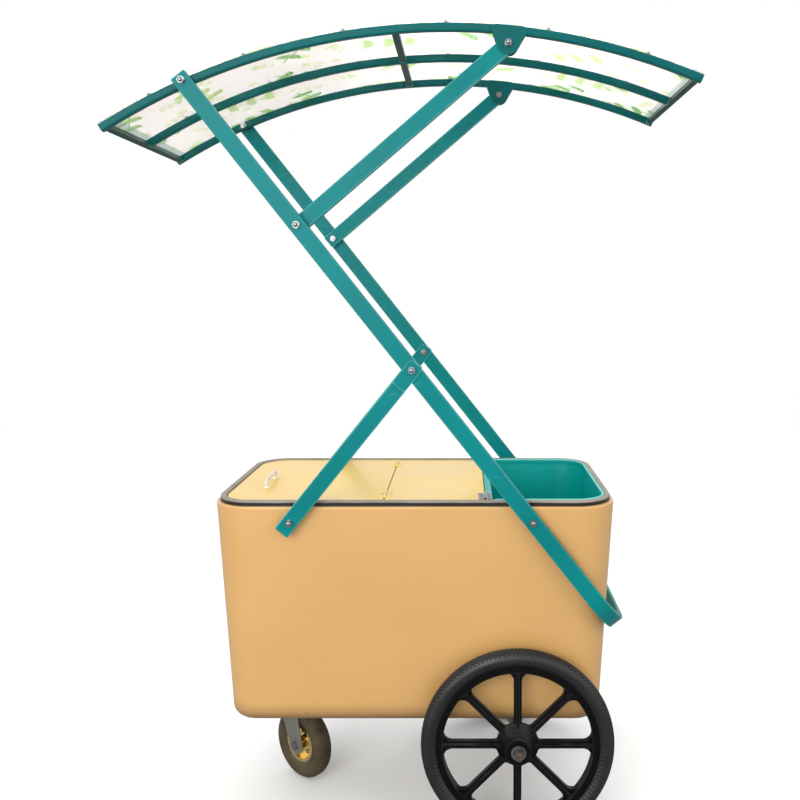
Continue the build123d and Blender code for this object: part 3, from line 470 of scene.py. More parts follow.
def noise_at(vector, scale, detail=2.0):
    """Value of a noise at a scale."""
    return node("TexNoise", {"Vector": vector, "Scale": scale, "Detail": detail})["Fac"]


def height_of(vector):
    """Height of a point."""
    return node("SeparateXYZ", {0: vector})["Z"]


def bump_of(height, strength, distance):
    """Normal from a height."""
    return node("Bump", {"Height": height, "Strength": strength, "Distance": distance})["Normal"]


def mixed(factor, *pair):
    """Mix of two colours, each a socket or a plain colour, through the Mix node's colour sockets."""
    first, second = (value if is_socket(value) else (*value, 1.0) for value in pair)
    return node("Mix", {0: factor, 6: first, 7: second}, data_type="RGBA")[2]


def layered(ground, mask, paint, amount):
    """Ground with a paint over it where a mask is, by an amount."""
    return mixed(times(mask, amount), ground, paint)


def shaded(base, factor):
    """Plain colour made darker or lighter."""
    return tuple(min(part * factor, 1.0) for part in base)


def mottled(noise, base, low, high):
    """Plain colour that wanders between a darker and a lighter shade with the mottle."""
    return mixed(noise["Mottle"], shaded(base, low), shaded(base, high))


def new_group(name, inputs, outputs):
    """Sockets into a new shader group, and its end node. It takes a vector and named values."""
    tree = bpy.data.node_groups.new(name, "ShaderNodeTree")
    tree.interface.new_socket("Vector", in_out="INPUT", socket_type="NodeSocketVector")
    for way, labels in (("INPUT", inputs), ("OUTPUT", outputs)):
        for label in labels:
            tree.interface.new_socket(label, in_out=way, socket_type="NodeSocketFloat")
    return tree.nodes.new("NodeGroupInput").outputs, tree.nodes.new("NodeGroupOutput")


def make_surface_noise():
    """Group: broad mottling, fine grain and small specks from three noises."""
    start, end = new_group("surface_noise", ("Broad", "Fine"), ("Mottle", "Grain", "Specks"))
    mottle = noise_at(start["Vector"], start["Broad"], detail=4.0)
    specks = noise_at(start["Vector"], times(start["Fine"], 0.3), detail=3.0)
    fill(end, {
        "Mottle": ramp(mottle, 0.25, 0.75),
        "Grain": noise_at(start["Vector"], start["Fine"]),
        "Specks": ramp(specks, 0.64, 0.74),
    })


def make_settled_dust():
    """Group: dust mask, more on faces that look up and broken by a noise."""
    start, end = new_group("settled_dust", ("Scale",), ("Mask",))
    upward = ramp(height_of(node("NewGeometry", {}, end.id_data)["Normal"]), 0.2, 1.0)
    broken = ramp(noise_at(start["Vector"], start["Scale"], detail=5.0), 0.35, 0.75)
    fill(end, {"Mask": times(upward, broken)})


def make_edge_wear_and_highlight():
    """Group: mask of rubbed edges and painted edge highlights, where the rounded normal leaves the face's
    own, broken by a noise.
    """
    start, end = new_group("edge_rub", ("Radius", "Scale"), ("Mask",))
    rounded = node("Bevel", {"Radius": start["Radius"]}, samples=4)["Normal"]
    own = node("NewGeometry", {}, end.id_data)["Normal"]
    agree = node("VectorMath", {0: rounded, 1: own}, operation="DOT_PRODUCT")["Value"]
    broken = ramp(noise_at(start["Vector"], start["Scale"], detail=4.0), 0.22, 0.48)
    fill(end, {"Mask": times(ramp(inverse(agree), 0.004, 0.06), broken)})


def make_fine_scratches():
    """Group: thin scratches from a stretched noise, kept where a second noise is high."""
    start, end = new_group("fine_scratches", ("Scale",), ("Mask",))
    stretch = {"Vector": start["Vector"], "Rotation": (0.4, 0.9, 0.6), "Scale": (1.0, 14.0, 14.0)}
    lines = noise_at(node("Mapping", stretch)[0], start["Scale"])
    where = noise_at(start["Vector"], times(start["Scale"], 0.5))
    fill(end, {"Mask": times(ramp(lines, 0.66, 0.72), ramp(where, 0.5, 0.6))})


def make_sprig_print():
    """Group: sprigs of paired lens-shaped leaves on a stem, one in each cell at its own angle.

    In a cell, the point is turned by the cell's random angle. The run along the stem repeats every
    pitch, and its distance from the stem is mirrored. A leaf is a lens along a line at 45 degrees:
    its half width falls off with the square of the distance from its middle.
    """
    pitch = 0.42
    leaf_half = 0.2
    leaf_width = 0.11
    diagonal = float(np.sqrt(0.5))
    start, end = new_group("sprig_print", ("Density", "Size"), ("Mask", "Vein", "Tint"))
    grid = {"Vector": start["Vector"], "Scale": start["Density"], "Randomness": 0.62}
    cells = node("TexVoronoi", grid, voronoi_dimensions="2D")
    random = node("SeparateColor", {0: cells["Color"]})
    local = node("VectorMath", {0: start["Vector"], 1: cells["Position"]}, operation="SUBTRACT")[0]
    turn = {"Vector": local, "Angle": times(random[0], TURN)}
    local = node("VectorRotate", turn, rotation_type="Z_AXIS")[0]
    size = {0: local, "Scale": math("DIVIDE", 1.0, start["Size"])}
    place = node("SeparateXYZ", {0: node("VectorMath", size, operation="SCALE")[0]})
    run = place["X"]
    off_stem = math("ABSOLUTE", place["Y"])
    step = times(math("SUBTRACT", math("FRACT", math("DIVIDE", run, pitch)), 0.5), pitch)
    along = times(math("ADD", step, off_stem), diagonal)
    across = math("ABSOLUTE", times(math("SUBTRACT", off_stem, step), diagonal))
    part = math("DIVIDE", math("SUBTRACT", along, leaf_half), leaf_half)
    lens = math("SUBTRACT", inverse(times(part, part)), math("DIVIDE", across, leaf_width))
    leaf = ramp(lens, 0.0, 0.12)
    stem = inverse(ramp(off_stem, 0.012, 0.024))
    reach = inverse(ramp(math("ABSOLUTE", run), 0.6, 0.64))
    fill(end, {
        "Mask": times(math("MAXIMUM", leaf, stem), reach),
        "Vein": times(inverse(ramp(across, 0.006, 0.016)), reach),
        "Tint": random[1],
    })


# Finishes


def new_finish(name, broad, fine):
    """New material's shader, the vector of the piece's own coordinates and its noises."""
    finish = bpy.data.materials.new("finish_" + name)
    finish.use_nodes = True
    vector = node("TexCoord", {}, finish.node_tree)["Object"]
    noise = placed("surface_noise", vector=vector, broad=broad, fine=fine)
    return finish.node_tree.nodes["Principled BSDF"], vector, noise


def finish_of(name):
    """Material made for a slot or for pieces with a finish of their own."""
    made = bpy.data.materials.get("finish_" + name)
    if made is None:
        raise RuntimeError(f"the finish {name} is not made yet")
    return made


def paint_node(name, finish):
    """Give a CAD node a finish."""
    materials = frame["nodes"][name].data.materials
    materials.clear()
    materials.append(finish_of(finish))


def moulded_finish(name, base, broad, rough=0.3, coat=0.2, fine=260.0, bump=0.12, dust=0.1, bottom_shade=None):
    """Moulded plastic: mottled colour, fine orange-peel bump, scratches in the gloss and a little dust.

    Bottom shade is a pair of heights: painted shade darkens the colour from the upper one down to the lower
    one.
    """
    shader, vector, noise = new_finish(name, broad, fine)
    scratches = placed("fine_scratches", vector=vector, scale=7.0)["Mask"]
    settled = placed("settled_dust", vector=vector, scale=9.0)["Mask"]
    ground = mottled(noise, base, low=0.94, high=1.05)
    ground = layered(ground, noise["Specks"], shaded(base, 0.6), amount=0.12)
    ground = layered(ground, scratches, shaded(base, 1.35), amount=0.08)
    ground = layered(ground, settled, MOULDED_DUST, dust)
    # Painted shade: darker towards the shell's bottom edge, where the rounded bottom turns away from the
    # light
    if bottom_shade:
        wavy = added(height_of(vector), (noise["Mottle"], 0.006))
        ground = layered(ground, inverse(ramp(wavy, *bottom_shade)), shaded(base, 0.3), amount=0.85)
    fill(shader, {
        "Base Color": ground,
        "Roughness": added(rough, (noise["Mottle"], 0.08), (scratches, 0.15)),
        "Coat Weight": coat,
        "Coat Roughness": 0.12,
        "Normal": bump_of(noise["Grain"], strength=bump, distance=0.0004),
    })


def painted_finish(name, base, rub, rough=0.3, metal=0.0):
    """Painted or plated metal: mottled colour, orange peel, edges lighter from wear and painted highlight,
    scratches and dust.
    """
    shader, vector, noise = new_finish(name, broad=5.0, fine=420.0)
    worn = placed("edge_rub", vector=vector, radius=0.003, scale=26.0)["Mask"]
    scratches = placed("fine_scratches", vector=vector, scale=11.0)["Mask"]
    settled = placed("settled_dust", vector=vector, scale=14.0)["Mask"]
    ground = mottled(noise, base, low=0.88, high=1.1)
    # Lighter edges: worn paint and a painted highlight
    ground = layered(ground, worn, rub, amount=0.85)
    ground = layered(ground, scratches, rub, amount=0.1)
    fill(shader, {
        "Base Color": layered(ground, settled, PAINT_DUST, amount=0.1),
        "Roughness": added(rough, (noise["Mottle"], 0.1), (settled, 0.2)),
        "Metallic": metal,
        "Specular IOR Level": 0.12,
        "Normal": bump_of(noise["Grain"], strength=0.25, distance=0.0003),
    })


def metal_finish(name, base, rough, tarnish):
    """Bare or plated metal: fine brushing in the gloss, darker tarnish in patches and thin scratches."""
    shader, vector, noise = new_finish(name, broad=34.0, fine=900.0)
    scratches = placed("fine_scratches", vector=vector, scale=60.0)["Mask"]
    ground = mottled(noise, base, low=0.82, high=1.06)
    fill(shader, {
        "Base Color": layered(ground, noise["Specks"], shaded(base, 0.35), tarnish),
        "Roughness": added(rough, (noise["Mottle"], 0.14), (scratches, 0.2)),
        "Metallic": 1.0,
        "Normal": bump_of(noise["Grain"], strength=0.12, distance=0.0002),
    })


def rubber_finish(name, base, dust, rough=0.52, shine=0.2):
    """Rubber: pebbled grain, paler worn patches and dust held in the grain."""
    shader, vector, noise = new_finish(name, broad=16.0, fine=700.0)
    settled = placed("settled_dust", vector=vector, scale=22.0)["Mask"]
    ground = mottled(noise, base, low=0.7, high=1.25)
    ground = layered(ground, noise["Specks"], RUBBER_DUST, dust)
    fill(shader, {
        "Base Color": layered(ground, settled, RUBBER_DUST, dust),
        "Roughness": added(rough, (noise["Mottle"], 0.16)),
        "Specular IOR Level": shine,
        "Normal": bump_of(noise["Grain"], strength=0.4, distance=0.0004),
    })


def trim_finish(name, base, top, split):
    """Rubber trim: black below and a painted grey highlight above a height, with a wavy border and fine
    grain.
    """
    shader, vector, noise = new_finish(name, broad=12.0, fine=800.0)
    wavy = added(height_of(vector), (noise["Mottle"], 0.0016))
    # Painted highlight: the upper part of the trim gets the lighter top colour
    upper = ramp(wavy, split + TRIM_SHEEN_BORDER[0], split + TRIM_SHEEN_BORDER[1])
    fill(shader, {
        "Base Color": mixed(upper, base, mottled(noise, top, low=0.82, high=1.08)),
        "Roughness": added(0.38, (upper, 0.25)),
        "Normal": bump_of(noise["Grain"], strength=0.3, distance=0.0003),
    })


def film_finish(name, colours, hem_from, hem_to):
    """Printed translucent film: warm white ground, sprigs, dots, a tinted hem at both ends and fine haze."""
    hem_blur = 0.001
    shader, vector, noise = new_finish(name, broad=4.0, fine=300.0)
    settled = placed("settled_dust", vector=vector, scale=6.0)["Mask"]
    printed = node("UVMap", {}, shader.id_data, uv_map="Print")[0]
    sprig = placed("sprig_print", vector=printed, density=4.2, size=0.13)
    moved = node("Mapping", {"Vector": printed, "Location": (0.37, 0.21, 0.0)})[0]
    small = placed("sprig_print", vector=moved, density=6.5, size=0.055)["Mask"]
    spots = {"Vector": printed, "Scale": 9.0, "Randomness": 0.8}
    dots = inverse(ramp(node("TexVoronoi", spots, voronoi_dimensions="2D")["Distance"], 0.11, 0.14))
    along = node("SeparateXYZ", {0: printed})["X"]
    left = inverse(ramp(along, hem_from - hem_blur, hem_from + hem_blur))
    right = ramp(along, hem_to - hem_blur, hem_to + hem_blur)
    green = mixed(sprig["Tint"], shaded(colours.sprig, 0.85), colours.dot)
    ground = mottled(noise, colours.film, low=0.96, high=1.0)
    ground = layered(ground, dots, colours.dot, amount=0.6)
    ground = layered(ground, small, colours.dot, amount=0.7)
    ground = layered(ground, sprig["Mask"], green, amount=0.95)
    ground = layered(ground, times(sprig["Vein"], sprig["Mask"]), colours.film, amount=0.45)
    ground = layered(ground, math("MAXIMUM", left, right), colours.hem, amount=0.55)
    fill(shader, {
        "Base Color": layered(ground, settled, FILM_DUST, amount=0.06),
        "Roughness": added(0.6, (noise["Mottle"], 0.1)),
        "Transmission Weight": 0.82,
        "IOR": 1.06,
        "Normal": bump_of(noise["Grain"], strength=0.02, distance=0.0001),
    })


def floor_finish(name, base, bounce):
    """Pale matt floor with a faint mottle, which throws less light back on the cart than it shows."""
    shader, _, noise = new_finish(name, broad=1.2, fine=60.0)
    seen = node("LightPath", {}, shader.id_data)["Is Camera Ray"]
    ground = mottled(noise, base, low=0.985, high=1.0)
    fill(shader, {"Base Color": mixed(seen, shaded(base, bounce), ground), "Roughness": 0.7})


# Tyres


def tread_rows(row_pitch, row_count):
    """Offsets across the tread at the groove edges and block tops of each block row, from the middle out."""
    floor, top = ROW_GROOVE
    inside = np.array((0.0, floor, top, 1 - top, 1 - floor))
    return ((np.arange(row_count)[:, None] + inside) * row_pitch).ravel()


def tread_turns(pitches):
    """Turn angles at the groove edges and block tops of every pitch, for both sets of rows."""
    floor, top = CROSS_GROOVE
    inside = np.array((0.0, floor, top, 0.5 - top, 0.5 - floor))
    inside = np.concatenate((inside, inside + 0.5))
    return (np.arange(pitches)[:, None] + inside).ravel() * TURN / pitches


def tyre_section(radius, rows, half_width, waist_drop, neck, neck_half, bead, squareness):
    """Closed section of a tyre as (radius, offset) arrays.

    Over the waist the section is half a superellipse. Under it a quarter of an ellipse leads in to
    the neck over the rim's flange, and straight sides lead down to the bead.
    """
    waist = radius - waist_drop
    edge = np.arcsin(rows[-1] / half_width)
    side = half_width * np.sin(np.linspace(edge, QUARTER, TYRE_SIDE_POINTS)[1:])
    over = np.concatenate((rows, side))
    crown = waist_drop * np.maximum(1 - (over / half_width) ** squareness, 0) ** (1 / squareness)
    dip = np.linspace(0, QUARTER, TYRE_SIDE_POINTS)[1:]
    under = neck_half + (half_width - neck_half) * np.cos(dip)
    out_radius = np.concatenate((waist + crown, waist - (waist - neck) * np.sin(dip), [bead]))
    out_offset = np.concatenate((over, under, [neck_half]))
    section_radius = np.concatenate((out_radius, out_radius[:0:-1]))
    section_offset = np.concatenate((out_offset, -out_offset[:0:-1]))
    return section_radius, section_offset


def groove(phase, floor, top):
    """Depth of a groove at every whole phase: 1 out to its floor's edge, 0 from the block's top on."""
    away = np.abs(phase - np.round(phase))
    return np.clip((top - away) / (top - floor), 0, 1)


def block_tread(turns, offset, pitches, row_pitch, row_count, depth):
    """Depth of the tread's grooves: between the rows, and across them, half a pitch on in every other row."""
    across = np.abs(offset) / row_pitch
    row = np.floor(across + ROUNDING_GUARD)
    step = turns[:, None] * pitches / TURN + 0.5 * (row % 2)[None] + 0.5 * (offset < 0)[None]
    deepest = np.maximum(groove(across, *ROW_GROOVE)[None], groove(step, *CROSS_GROOVE))
    return depth * deepest * (np.abs(offset) < row_count * row_pitch)[None]


def treaded_tyre(old, body, slot, axis, section, rows, pitches, depth):
    """Tyre in place of a plain one: its section turned about the axle, less the tread's depth."""
    low, high = corners_of(old)
    out, offset = tyre_section(max(high - low) / 2, tread_rows(**rows), **section)
    turns = tread_turns(pitches)
    lowered = out[None] - block_tread(turns, offset, pitches, depth=depth, **rows)
    surface = turned(lowered, offset[None], turns, (low + high) / 2, axis)
    new_piece(old + "_tread", [(surface, True, True)], body, slot, replaced=[old])


# Small pieces


def domed_cap(centre, axis, radius, height):
    """Domed cap: a short straight skirt, then a quarter of an ellipse up to the pole, closed underneath."""
    rise = np.linspace(0, QUARTER, CAP_RISE_POINTS)
    skirt = 0.25 * height
    out = np.concatenate(([0.0, radius], radius * np.cos(rise)))
    along = np.concatenate(([0.0, 0.0], skirt + (height - skirt) * np.sin(rise)))
    return turned(out[None], along[None], even_turns(CAP_POINTS), centre, axis), True, False


def cross_screw(centre, axis, radius):
    """Screw head: a low elliptic dome on a straight wall, with a cross cut into it, closed underneath."""
    rise, wall, slot_half, slot_reach, slot_depth = np.array((0.55, 0.12, 0.13, 0.65, 0.3)) * radius
    ring = np.array((1.0, 1.0, 0.9, 0.72, 0.6, 0.45, 0.3, 0.15, 0.0)) * radius
    turns = even_turns(ROUND_POINTS)
    dome = rise * np.sqrt(np.maximum(1 - (ring / radius) ** 2, 0)) + wall
    arm = np.minimum(np.abs(np.cos(turns)), np.abs(np.sin(turns)))[:, None] * ring[None]
    cut = (arm < slot_half) & (ring < slot_reach)[None]
    base = np.zeros((len(turns), 1))
    out = np.concatenate((base, base + radius, np.broadcast_to(ring[None], cut.shape)), axis=1)
    along = np.concatenate((base, base, dome[None] - slot_depth * cut), axis=1)
    return turned(out, along, turns, centre, axis), True, False


def hex_head(centre, axis, across, height):
    """Six-sided bolt head with a chamfered top, closed at both ends."""
    corner = across / np.sqrt(3)
    out = np.array((0.0, 1.0, 1.0, 0.86, 0.0)) * corner
    along = np.array((0.0, 0.0, 0.82, 1.0, 1.0)) * height
    return turned(out[None], along[None], even_turns(6), centre, axis), True, False


def threaded_stud(centre, axis, radius, height, pitch):
    """Threaded sleeve on a rod's end: the radius goes in and out along a helix, and ends in a chamfer."""
    tooth_height = 0.085
    tip = 0.82
    short = 0.3 * pitch
    chamfer_length = 1.5 * pitch
    turns = even_turns(ROUND_POINTS)
    height = height - short
    along = np.linspace(0, height, THREAD_POINTS)
    phase = along[None] / pitch - turns[:, None] / TURN
    tooth = np.abs(phase - np.floor(phase) - 0.5) * 2
    chamfer = np.clip((height - along) / chamfer_length, 0, 1)
    out = radius * (1 + tooth_height * tooth) * (tip + (1 - tip) * chamfer)[None]
    pole = np.zeros((len(turns), 1))
    out = np.concatenate((pole, out, pole), axis=1)
    along = np.concatenate(([0.0], along, [height]))
    return turned(out, along[None], turns, centre, axis), True, False


def bead_along(path, flat, radius, ripple, closed, tall=1.0):
    """Bead: an oval section carried along a path in a plane, swelling with every ripple.

    The section is the radius wide and the radius times tall high, and runs out at open ends.
    """
    swell_share = 0.2
    flat = np.asarray(flat, float)
    if closed:
        ahead = np.roll(path, -1, axis=0) - np.roll(path, 1, axis=0)
    else:
        ahead = np.gradient(path, axis=0)
    ahead = ahead / np.linalg.norm(ahead, axis=1)[:, None]
    side = np.cross(flat, ahead)
    steps = np.linalg.norm(np.diff(path, axis=0), axis=1)
    run = np.concatenate(([0.0], np.cumsum(steps)))
    swell = radius * (1 + swell_share * np.cos(TURN * run / ripple))
    if not closed:
        swell = swell * np.sqrt(np.clip(np.minimum(run, run[-1] - run) / radius, 0, 1))
    turns = even_turns(BEAD_POINTS)[None, :, None]
    section = np.cos(turns) * side[:, None] + np.sin(turns) * tall * flat
    return path[:, None] + swell[:, None, None] * section, closed, True


def bin_edge(corner, start, inset, drop):
    """Path round the bin's edge: two straight sides, a straight end and two quarter-round corners.

    It lies the inset inside the trim's outer corner and the drop below its top.
    """
    bend_radius = TRIM_CORNER - inset
    half = corner[1] - inset
    end = corner[0] - inset
    bend = np.linspace(0, QUARTER, LIP_BEND_POINTS)
    side = np.linspace(start, end - bend_radius, LIP_SIDE_POINTS, endpoint=False)
    across = np.concatenate((side, end - bend_radius + bend_radius * np.sin(bend)))
    out = np.concatenate((np.full(len(side), half), half - bend_radius + bend_radius * np.cos(bend)))
    path_x = np.concatenate((across, across[::-1]))
    path_y = np.concatenate((-out, out[::-1]))
    return np.stack((path_x, path_y, np.full(len(path_x), corner[2] - drop)), axis=-1)


def on_arch(radius, angle, offset):
    """Points at a radius from the canopy's centre, an angle from straight up and an offset across."""
    radius, angle, offset = np.broadcast_arrays(radius, angle, offset)
    local = np.stack((radius * np.sin(angle), offset, radius * np.cos(angle)), axis=-1)
    return CANOPY_CENTRE + local


def arch_angle(along, radius=RAIL_OUTER):
    """Angle from straight up of a point on the arch with a given x."""
    return np.arcsin((along - CANOPY_CENTRE[0]) / radius)


# Studio


def lay_floor(scene, stage):
    """Flat floor under the wheels."""
    edge = np.linspace(-stage.floor_reach, stage.floor_reach, FLOOR_POINTS)
    across, deep = np.meshgrid(edge, edge, indexing="ij")
    grid = np.stack((across, deep, np.zeros_like(across)), axis=-1)
    mesh = bpy.data.meshes.new("studio_floor")
    mesh.from_pydata(grid.reshape(-1, 3), [], grid_quads(*across.shape))
    floor_finish("floor", scene.cart_colours.floor, stage.bounce)
    mesh.materials.append(finish_of("floor"))
    floor = put("studio_floor", mesh)


def light_studio(scene, stage):
    """Even light that falls off below the horizon, a white background and three soft lamps."""
    world = bpy.data.worlds.new("studio_sky")
    world.use_nodes = True
    scene.world = world
    tree = world.node_tree
    above = ramp(height_of(node("TexCoord", {}, tree)["Generated"]), *HORIZON)
    even = added(stage.ground, (above, stage.sky - stage.ground))
    seen = node("LightPath", {}, tree)["Is Camera Ray"]
    strength = node("Mix", {0: seen, 2: even, 3: 1.0})[0]
    fill(tree.nodes["Background"], {"Color": (1.0, 1.0, 1.0, 1.0), "Strength": strength})
    for name, place, size, share in LAMPS:
        light = bpy.data.lights.new("studio_" + name, "AREA")
        light.size = size
        light.energy = stage.key * share
        lamp = put("studio_" + name, light)
        look = np.subtract(LAMP_AIM, place)
        lamp.location = place
        tilt = np.arctan2(np.hypot(look[0], look[1]), -look[2])
        lamp.rotation_euler = (tilt, 0.0, np.arctan2(-look[0], look[1]))


def set_camera(scene, stage):
    """Camera where the photograph was taken from, with its frame shifted as photographed."""
    lens = bpy.data.cameras.new("photo_camera")
    lens.sensor_width = SENSOR_WIDTH
    lens.lens = stage.lens
    lens.shift_x = stage.shift_across
    lens.shift_y = stage.shift_up
    camera = put("photo_camera", lens)
    camera.location = stage.camera_place
    camera.rotation_euler = (stage.camera_tilt, 0.0, 0.0)
    scene.camera = camera
    scene.view_settings.view_transform = "Standard"


# Operators


class CartOperator:
    """Shared options of the cart's operators."""

    bl_options = {"REGISTER", "UNDO"}


class CART_OT_finishes(CartOperator, bpy.types.Operator):
    """Make every finish and give it to the CAD nodes of its slot"""

    bl_idname = "cart.finishes"
    bl_label = "Finishes"

    def execute(self, context):
        colours = context.scene.cart_colours
        make_surface_noise()
        make_settled_dust()
        make_edge_wear_and_highlight()
        make_fine_scratches()
        make_sprig_print()
        shell_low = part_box("outer_shell")[0].z
        # Painted shade along the shell's bottom edge, from its lowest point up to the rise
        bottom_shade = (shell_low, shell_low + BOTTOM_SHADE_RISE)
        moulded_finish("shell_tan", colours.shell, broad=2.2, coat=0.25, dust=0.25, bottom_shade=bottom_shade)
        moulded_finish("lid_cream", colours.lid, broad=2.6)
        moulded_finish("liner_teal", colours.liner, broad=3.0, rough=0.26, coat=0.3, fine=240.0, dust=0.02)
        moulded_finish("foam", colours.foam, broad=20.0, rough=0.8, coat=0.0, fine=500.0, bump=0.8)
        low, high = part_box("rim_trim")
        # The trim's top gets a painted highlight above the split height
        trim_finish("trim_rubber", colours.trim, colours.trim_painted_sheen, low.z + TRIM_SHEEN_SPLIT * (high.z - low.z))
        rubber_finish("gasket_rubber", colours.trim, dust=0.1)
        rubber_finish("tyre_black", colours.tyre, dust=0.08, rough=0.34, shine=0.5)
        rubber_finish("caster_tyre_grey", colours.caster_tyre, dust=0.35)
        painted_finish("frame_teal", colours.frame, colours.frame_rub_and_highlight)
        # The wheel's lighter edges are a painted highlight
        painted_finish("wheel_black", colours.wheel, colours.wheel_highlight_and_scratches, rough=0.26)
        painted_finish("zinc_grey", colours.zinc, ZINC_RUB, rough=0.36, metal=0.7)
        metal_finish("bolt_steel", colours.steel, rough=0.18, tarnish=0.3)
        metal_finish("caster_gold", colours.gold, rough=0.08, tarnish=0.3)
        metal_finish("axle", colours.axle, rough=0.26, tarnish=0.6)
        metal_finish("axle_nuts", shaded(colours.steel, 0.7), rough=0.3, tarnish=0.4)
        hems = (CANOPY_LEFT * RAIL_OUTER + LEFT_HEM, CANOPY_RIGHT * RAIL_OUTER - RIGHT_HEM)
        film_finish("canopy_film", colours, *hems)
        for name in ("painted_hinge", "handle", "canopy_bars", "canopy_rails", "bin_lip"):
            base = getattr(colours, name)
            # Edges lighter than the base: wear and a painted highlight
            painted_finish(name, base, rub=shaded(base, 1.6))
        for part in frame["record"]["subparts"]:
            paint_node(part["node"], part["material_slot"])
        for finish, names in OWN_FINISH.items():
            for name in names:
                paint_node(name, finish)
        return {"FINISHED"}


class CART_OT_road_tyres(CartOperator, bpy.types.Operator):
    """Put block-treaded tyres on the two spoked wheels"""

    bl_idname = "cart.road_tyres"
    bl_label = "Road tyres"

    def execute(self, context):
        sizes = context.scene.cart_sizes
        for side in ("front", "rear"):
            treaded_tyre(
                side + "_tyre", side + "_road_wheel", "tyre_black", (0, 1, 0), ROAD_SECTION, ROAD_ROWS,
                sizes.tread_pitches, sizes.tread_depth,
            )
        return {"FINISHED"}


class CART_OT_caster_tyre(CartOperator, bpy.types.Operator):
    """Put a treaded tyre on the caster, and bolts in its two-part rim"""

    bl_idname = "cart.caster_tyre"
    bl_label = "Caster tyre"

    def execute(self, context):
        sizes = context.scene.cart_sizes
        axis = np.array((np.sin(CASTER_TURN), np.cos(CASTER_TURN), 0.0))
        treaded_tyre(
            "caster_tyre", "caster_wheel", "caster_tyre_grey", axis, CASTER_SECTION, CASTER_ROWS,
            sizes.caster_pitches, sizes.caster_tread_depth,
        )
        middle = middle_of("caster_tyre")
        _, first, second = cross_axes(axis)
        heads = []
        for turn in even_turns(RIM_BOLTS) + RIM_BOLT_START:
            spot = middle + RIM_BOLT_CIRCLE * (np.cos(turn) * first + np.sin(turn) * second)
            for way in (-1, 1):
                foot = spot + way * CASTER_WEB_HALF * axis
                heads.append(hex_head(foot, way * axis, RIM_BOLT_ACROSS, RIM_BOLT_HEIGHT))
        new_piece("caster_rim_bolts", heads, "caster_wheel", "bolt_steel", sharp=25.0)
        return {"FINISHED"}


class CART_OT_bolt_caps(CartOperator, bpy.types.Operator):
    """Put domed caps on the frame's bolt heads"""

    bl_idname = "cart.bolt_caps"
    bl_label = "Bolt caps"

    def execute(self, context):
        sizes = context.scene.cart_sizes
        bolts = {
            "pivot_bolts": "cart_body",
            "stay_bolts": "arms",
            "canopy_pivot_bolts": "arms",
            "front_brace_fork_bolts": "front_lower_brace",
            "rear_brace_fork_bolts": "rear_lower_brace",
            "stay_bracket_bolts": "canopy",
        }
        for name, body in bolts.items():
            low, high = corners_of(name)
            middle = (low + high) / 2
            reach = (high[0] - low[0]) / 2 - (high[2] - low[2]) / 2
            caps = []
            for place in (-1, 1) if name == "pivot_bolts" else (0,):
                for end, way in ((low[1], -1), (high[1], 1)):
                    spot = (middle[0] + place * reach, end, middle[2])
                    caps.append(domed_cap(spot, (0, way, 0), sizes.dome_radius, sizes.dome_height))
            new_piece(name.replace("bolts", "bolt_caps"), caps, body, "bolt_steel")
        return {"FINISHED"}


class CART_OT_hinge_screws(CartOperator, bpy.types.Operator):
    """Put cross-head screws in the lid's hinge leaves"""

    bl_idname = "cart.hinge_screws"
    bl_label = "Hinge screws"

    def execute(self, context):
        sizes = context.scene.cart_sizes
        leaves = {
            "partition_hinge_fixed_leaves": ("cart_body", 1, "bolt_steel"),
            "partition_hinge_lid_leaves": ("middle_lid_leaf", -1, "bolt_steel"),
            "seam_hinge_middle_leaves": ("middle_lid_leaf", 1, "painted_hinge"),
            "seam_hinge_left_leaves": ("left_lid_leaf", -1, "painted_hinge"),
        }
        for name, (body, way, finish) in leaves.items():
            low, high = corners_of(name)
            across = (high[0] if way > 0 else low[0]) - way * SCREW_EDGE
            heads = [
                cross_screw((across, hinge + step, low[2] + HINGE_LEAF), (0, 0, 1), sizes.screw_radius)
                for hinge in (low[1] + HINGE_HALF, high[1] - HINGE_HALF)
                for step in (-SCREW_SPACING, 0, SCREW_SPACING)
            ]
            new_piece(name.replace("leaves", "screws"), heads, body, "bolt_steel", finish)
        return {"FINISHED"}


class CART_OT_axle_studs(CartOperator, bpy.types.Operator):
    """Cut a thread on the ends of the axle"""

    bl_idname = "cart.axle_studs"
    bl_label = "Axle studs"

    def execute(self, context):
        sizes = context.scene.cart_sizes
        low, high = corners_of("axle")
        nut_low, nut_high = corners_of("axle_nuts")
        middle = (low + high) / 2
        radius = (high[0] - low[0]) / 2
        height = high[1] - nut_high[1]
        studs = [
            threaded_stud((middle[0], nut, middle[2]), (0, way, 0), radius, height, sizes.thread_pitch)
            for nut, way in ((nut_low[1], -1), (nut_high[1], 1))
        ]
        new_piece("axle_threads", studs, "cart_body", "bolt_steel", "axle", sharp=60.0)
        return {"FINISHED"}


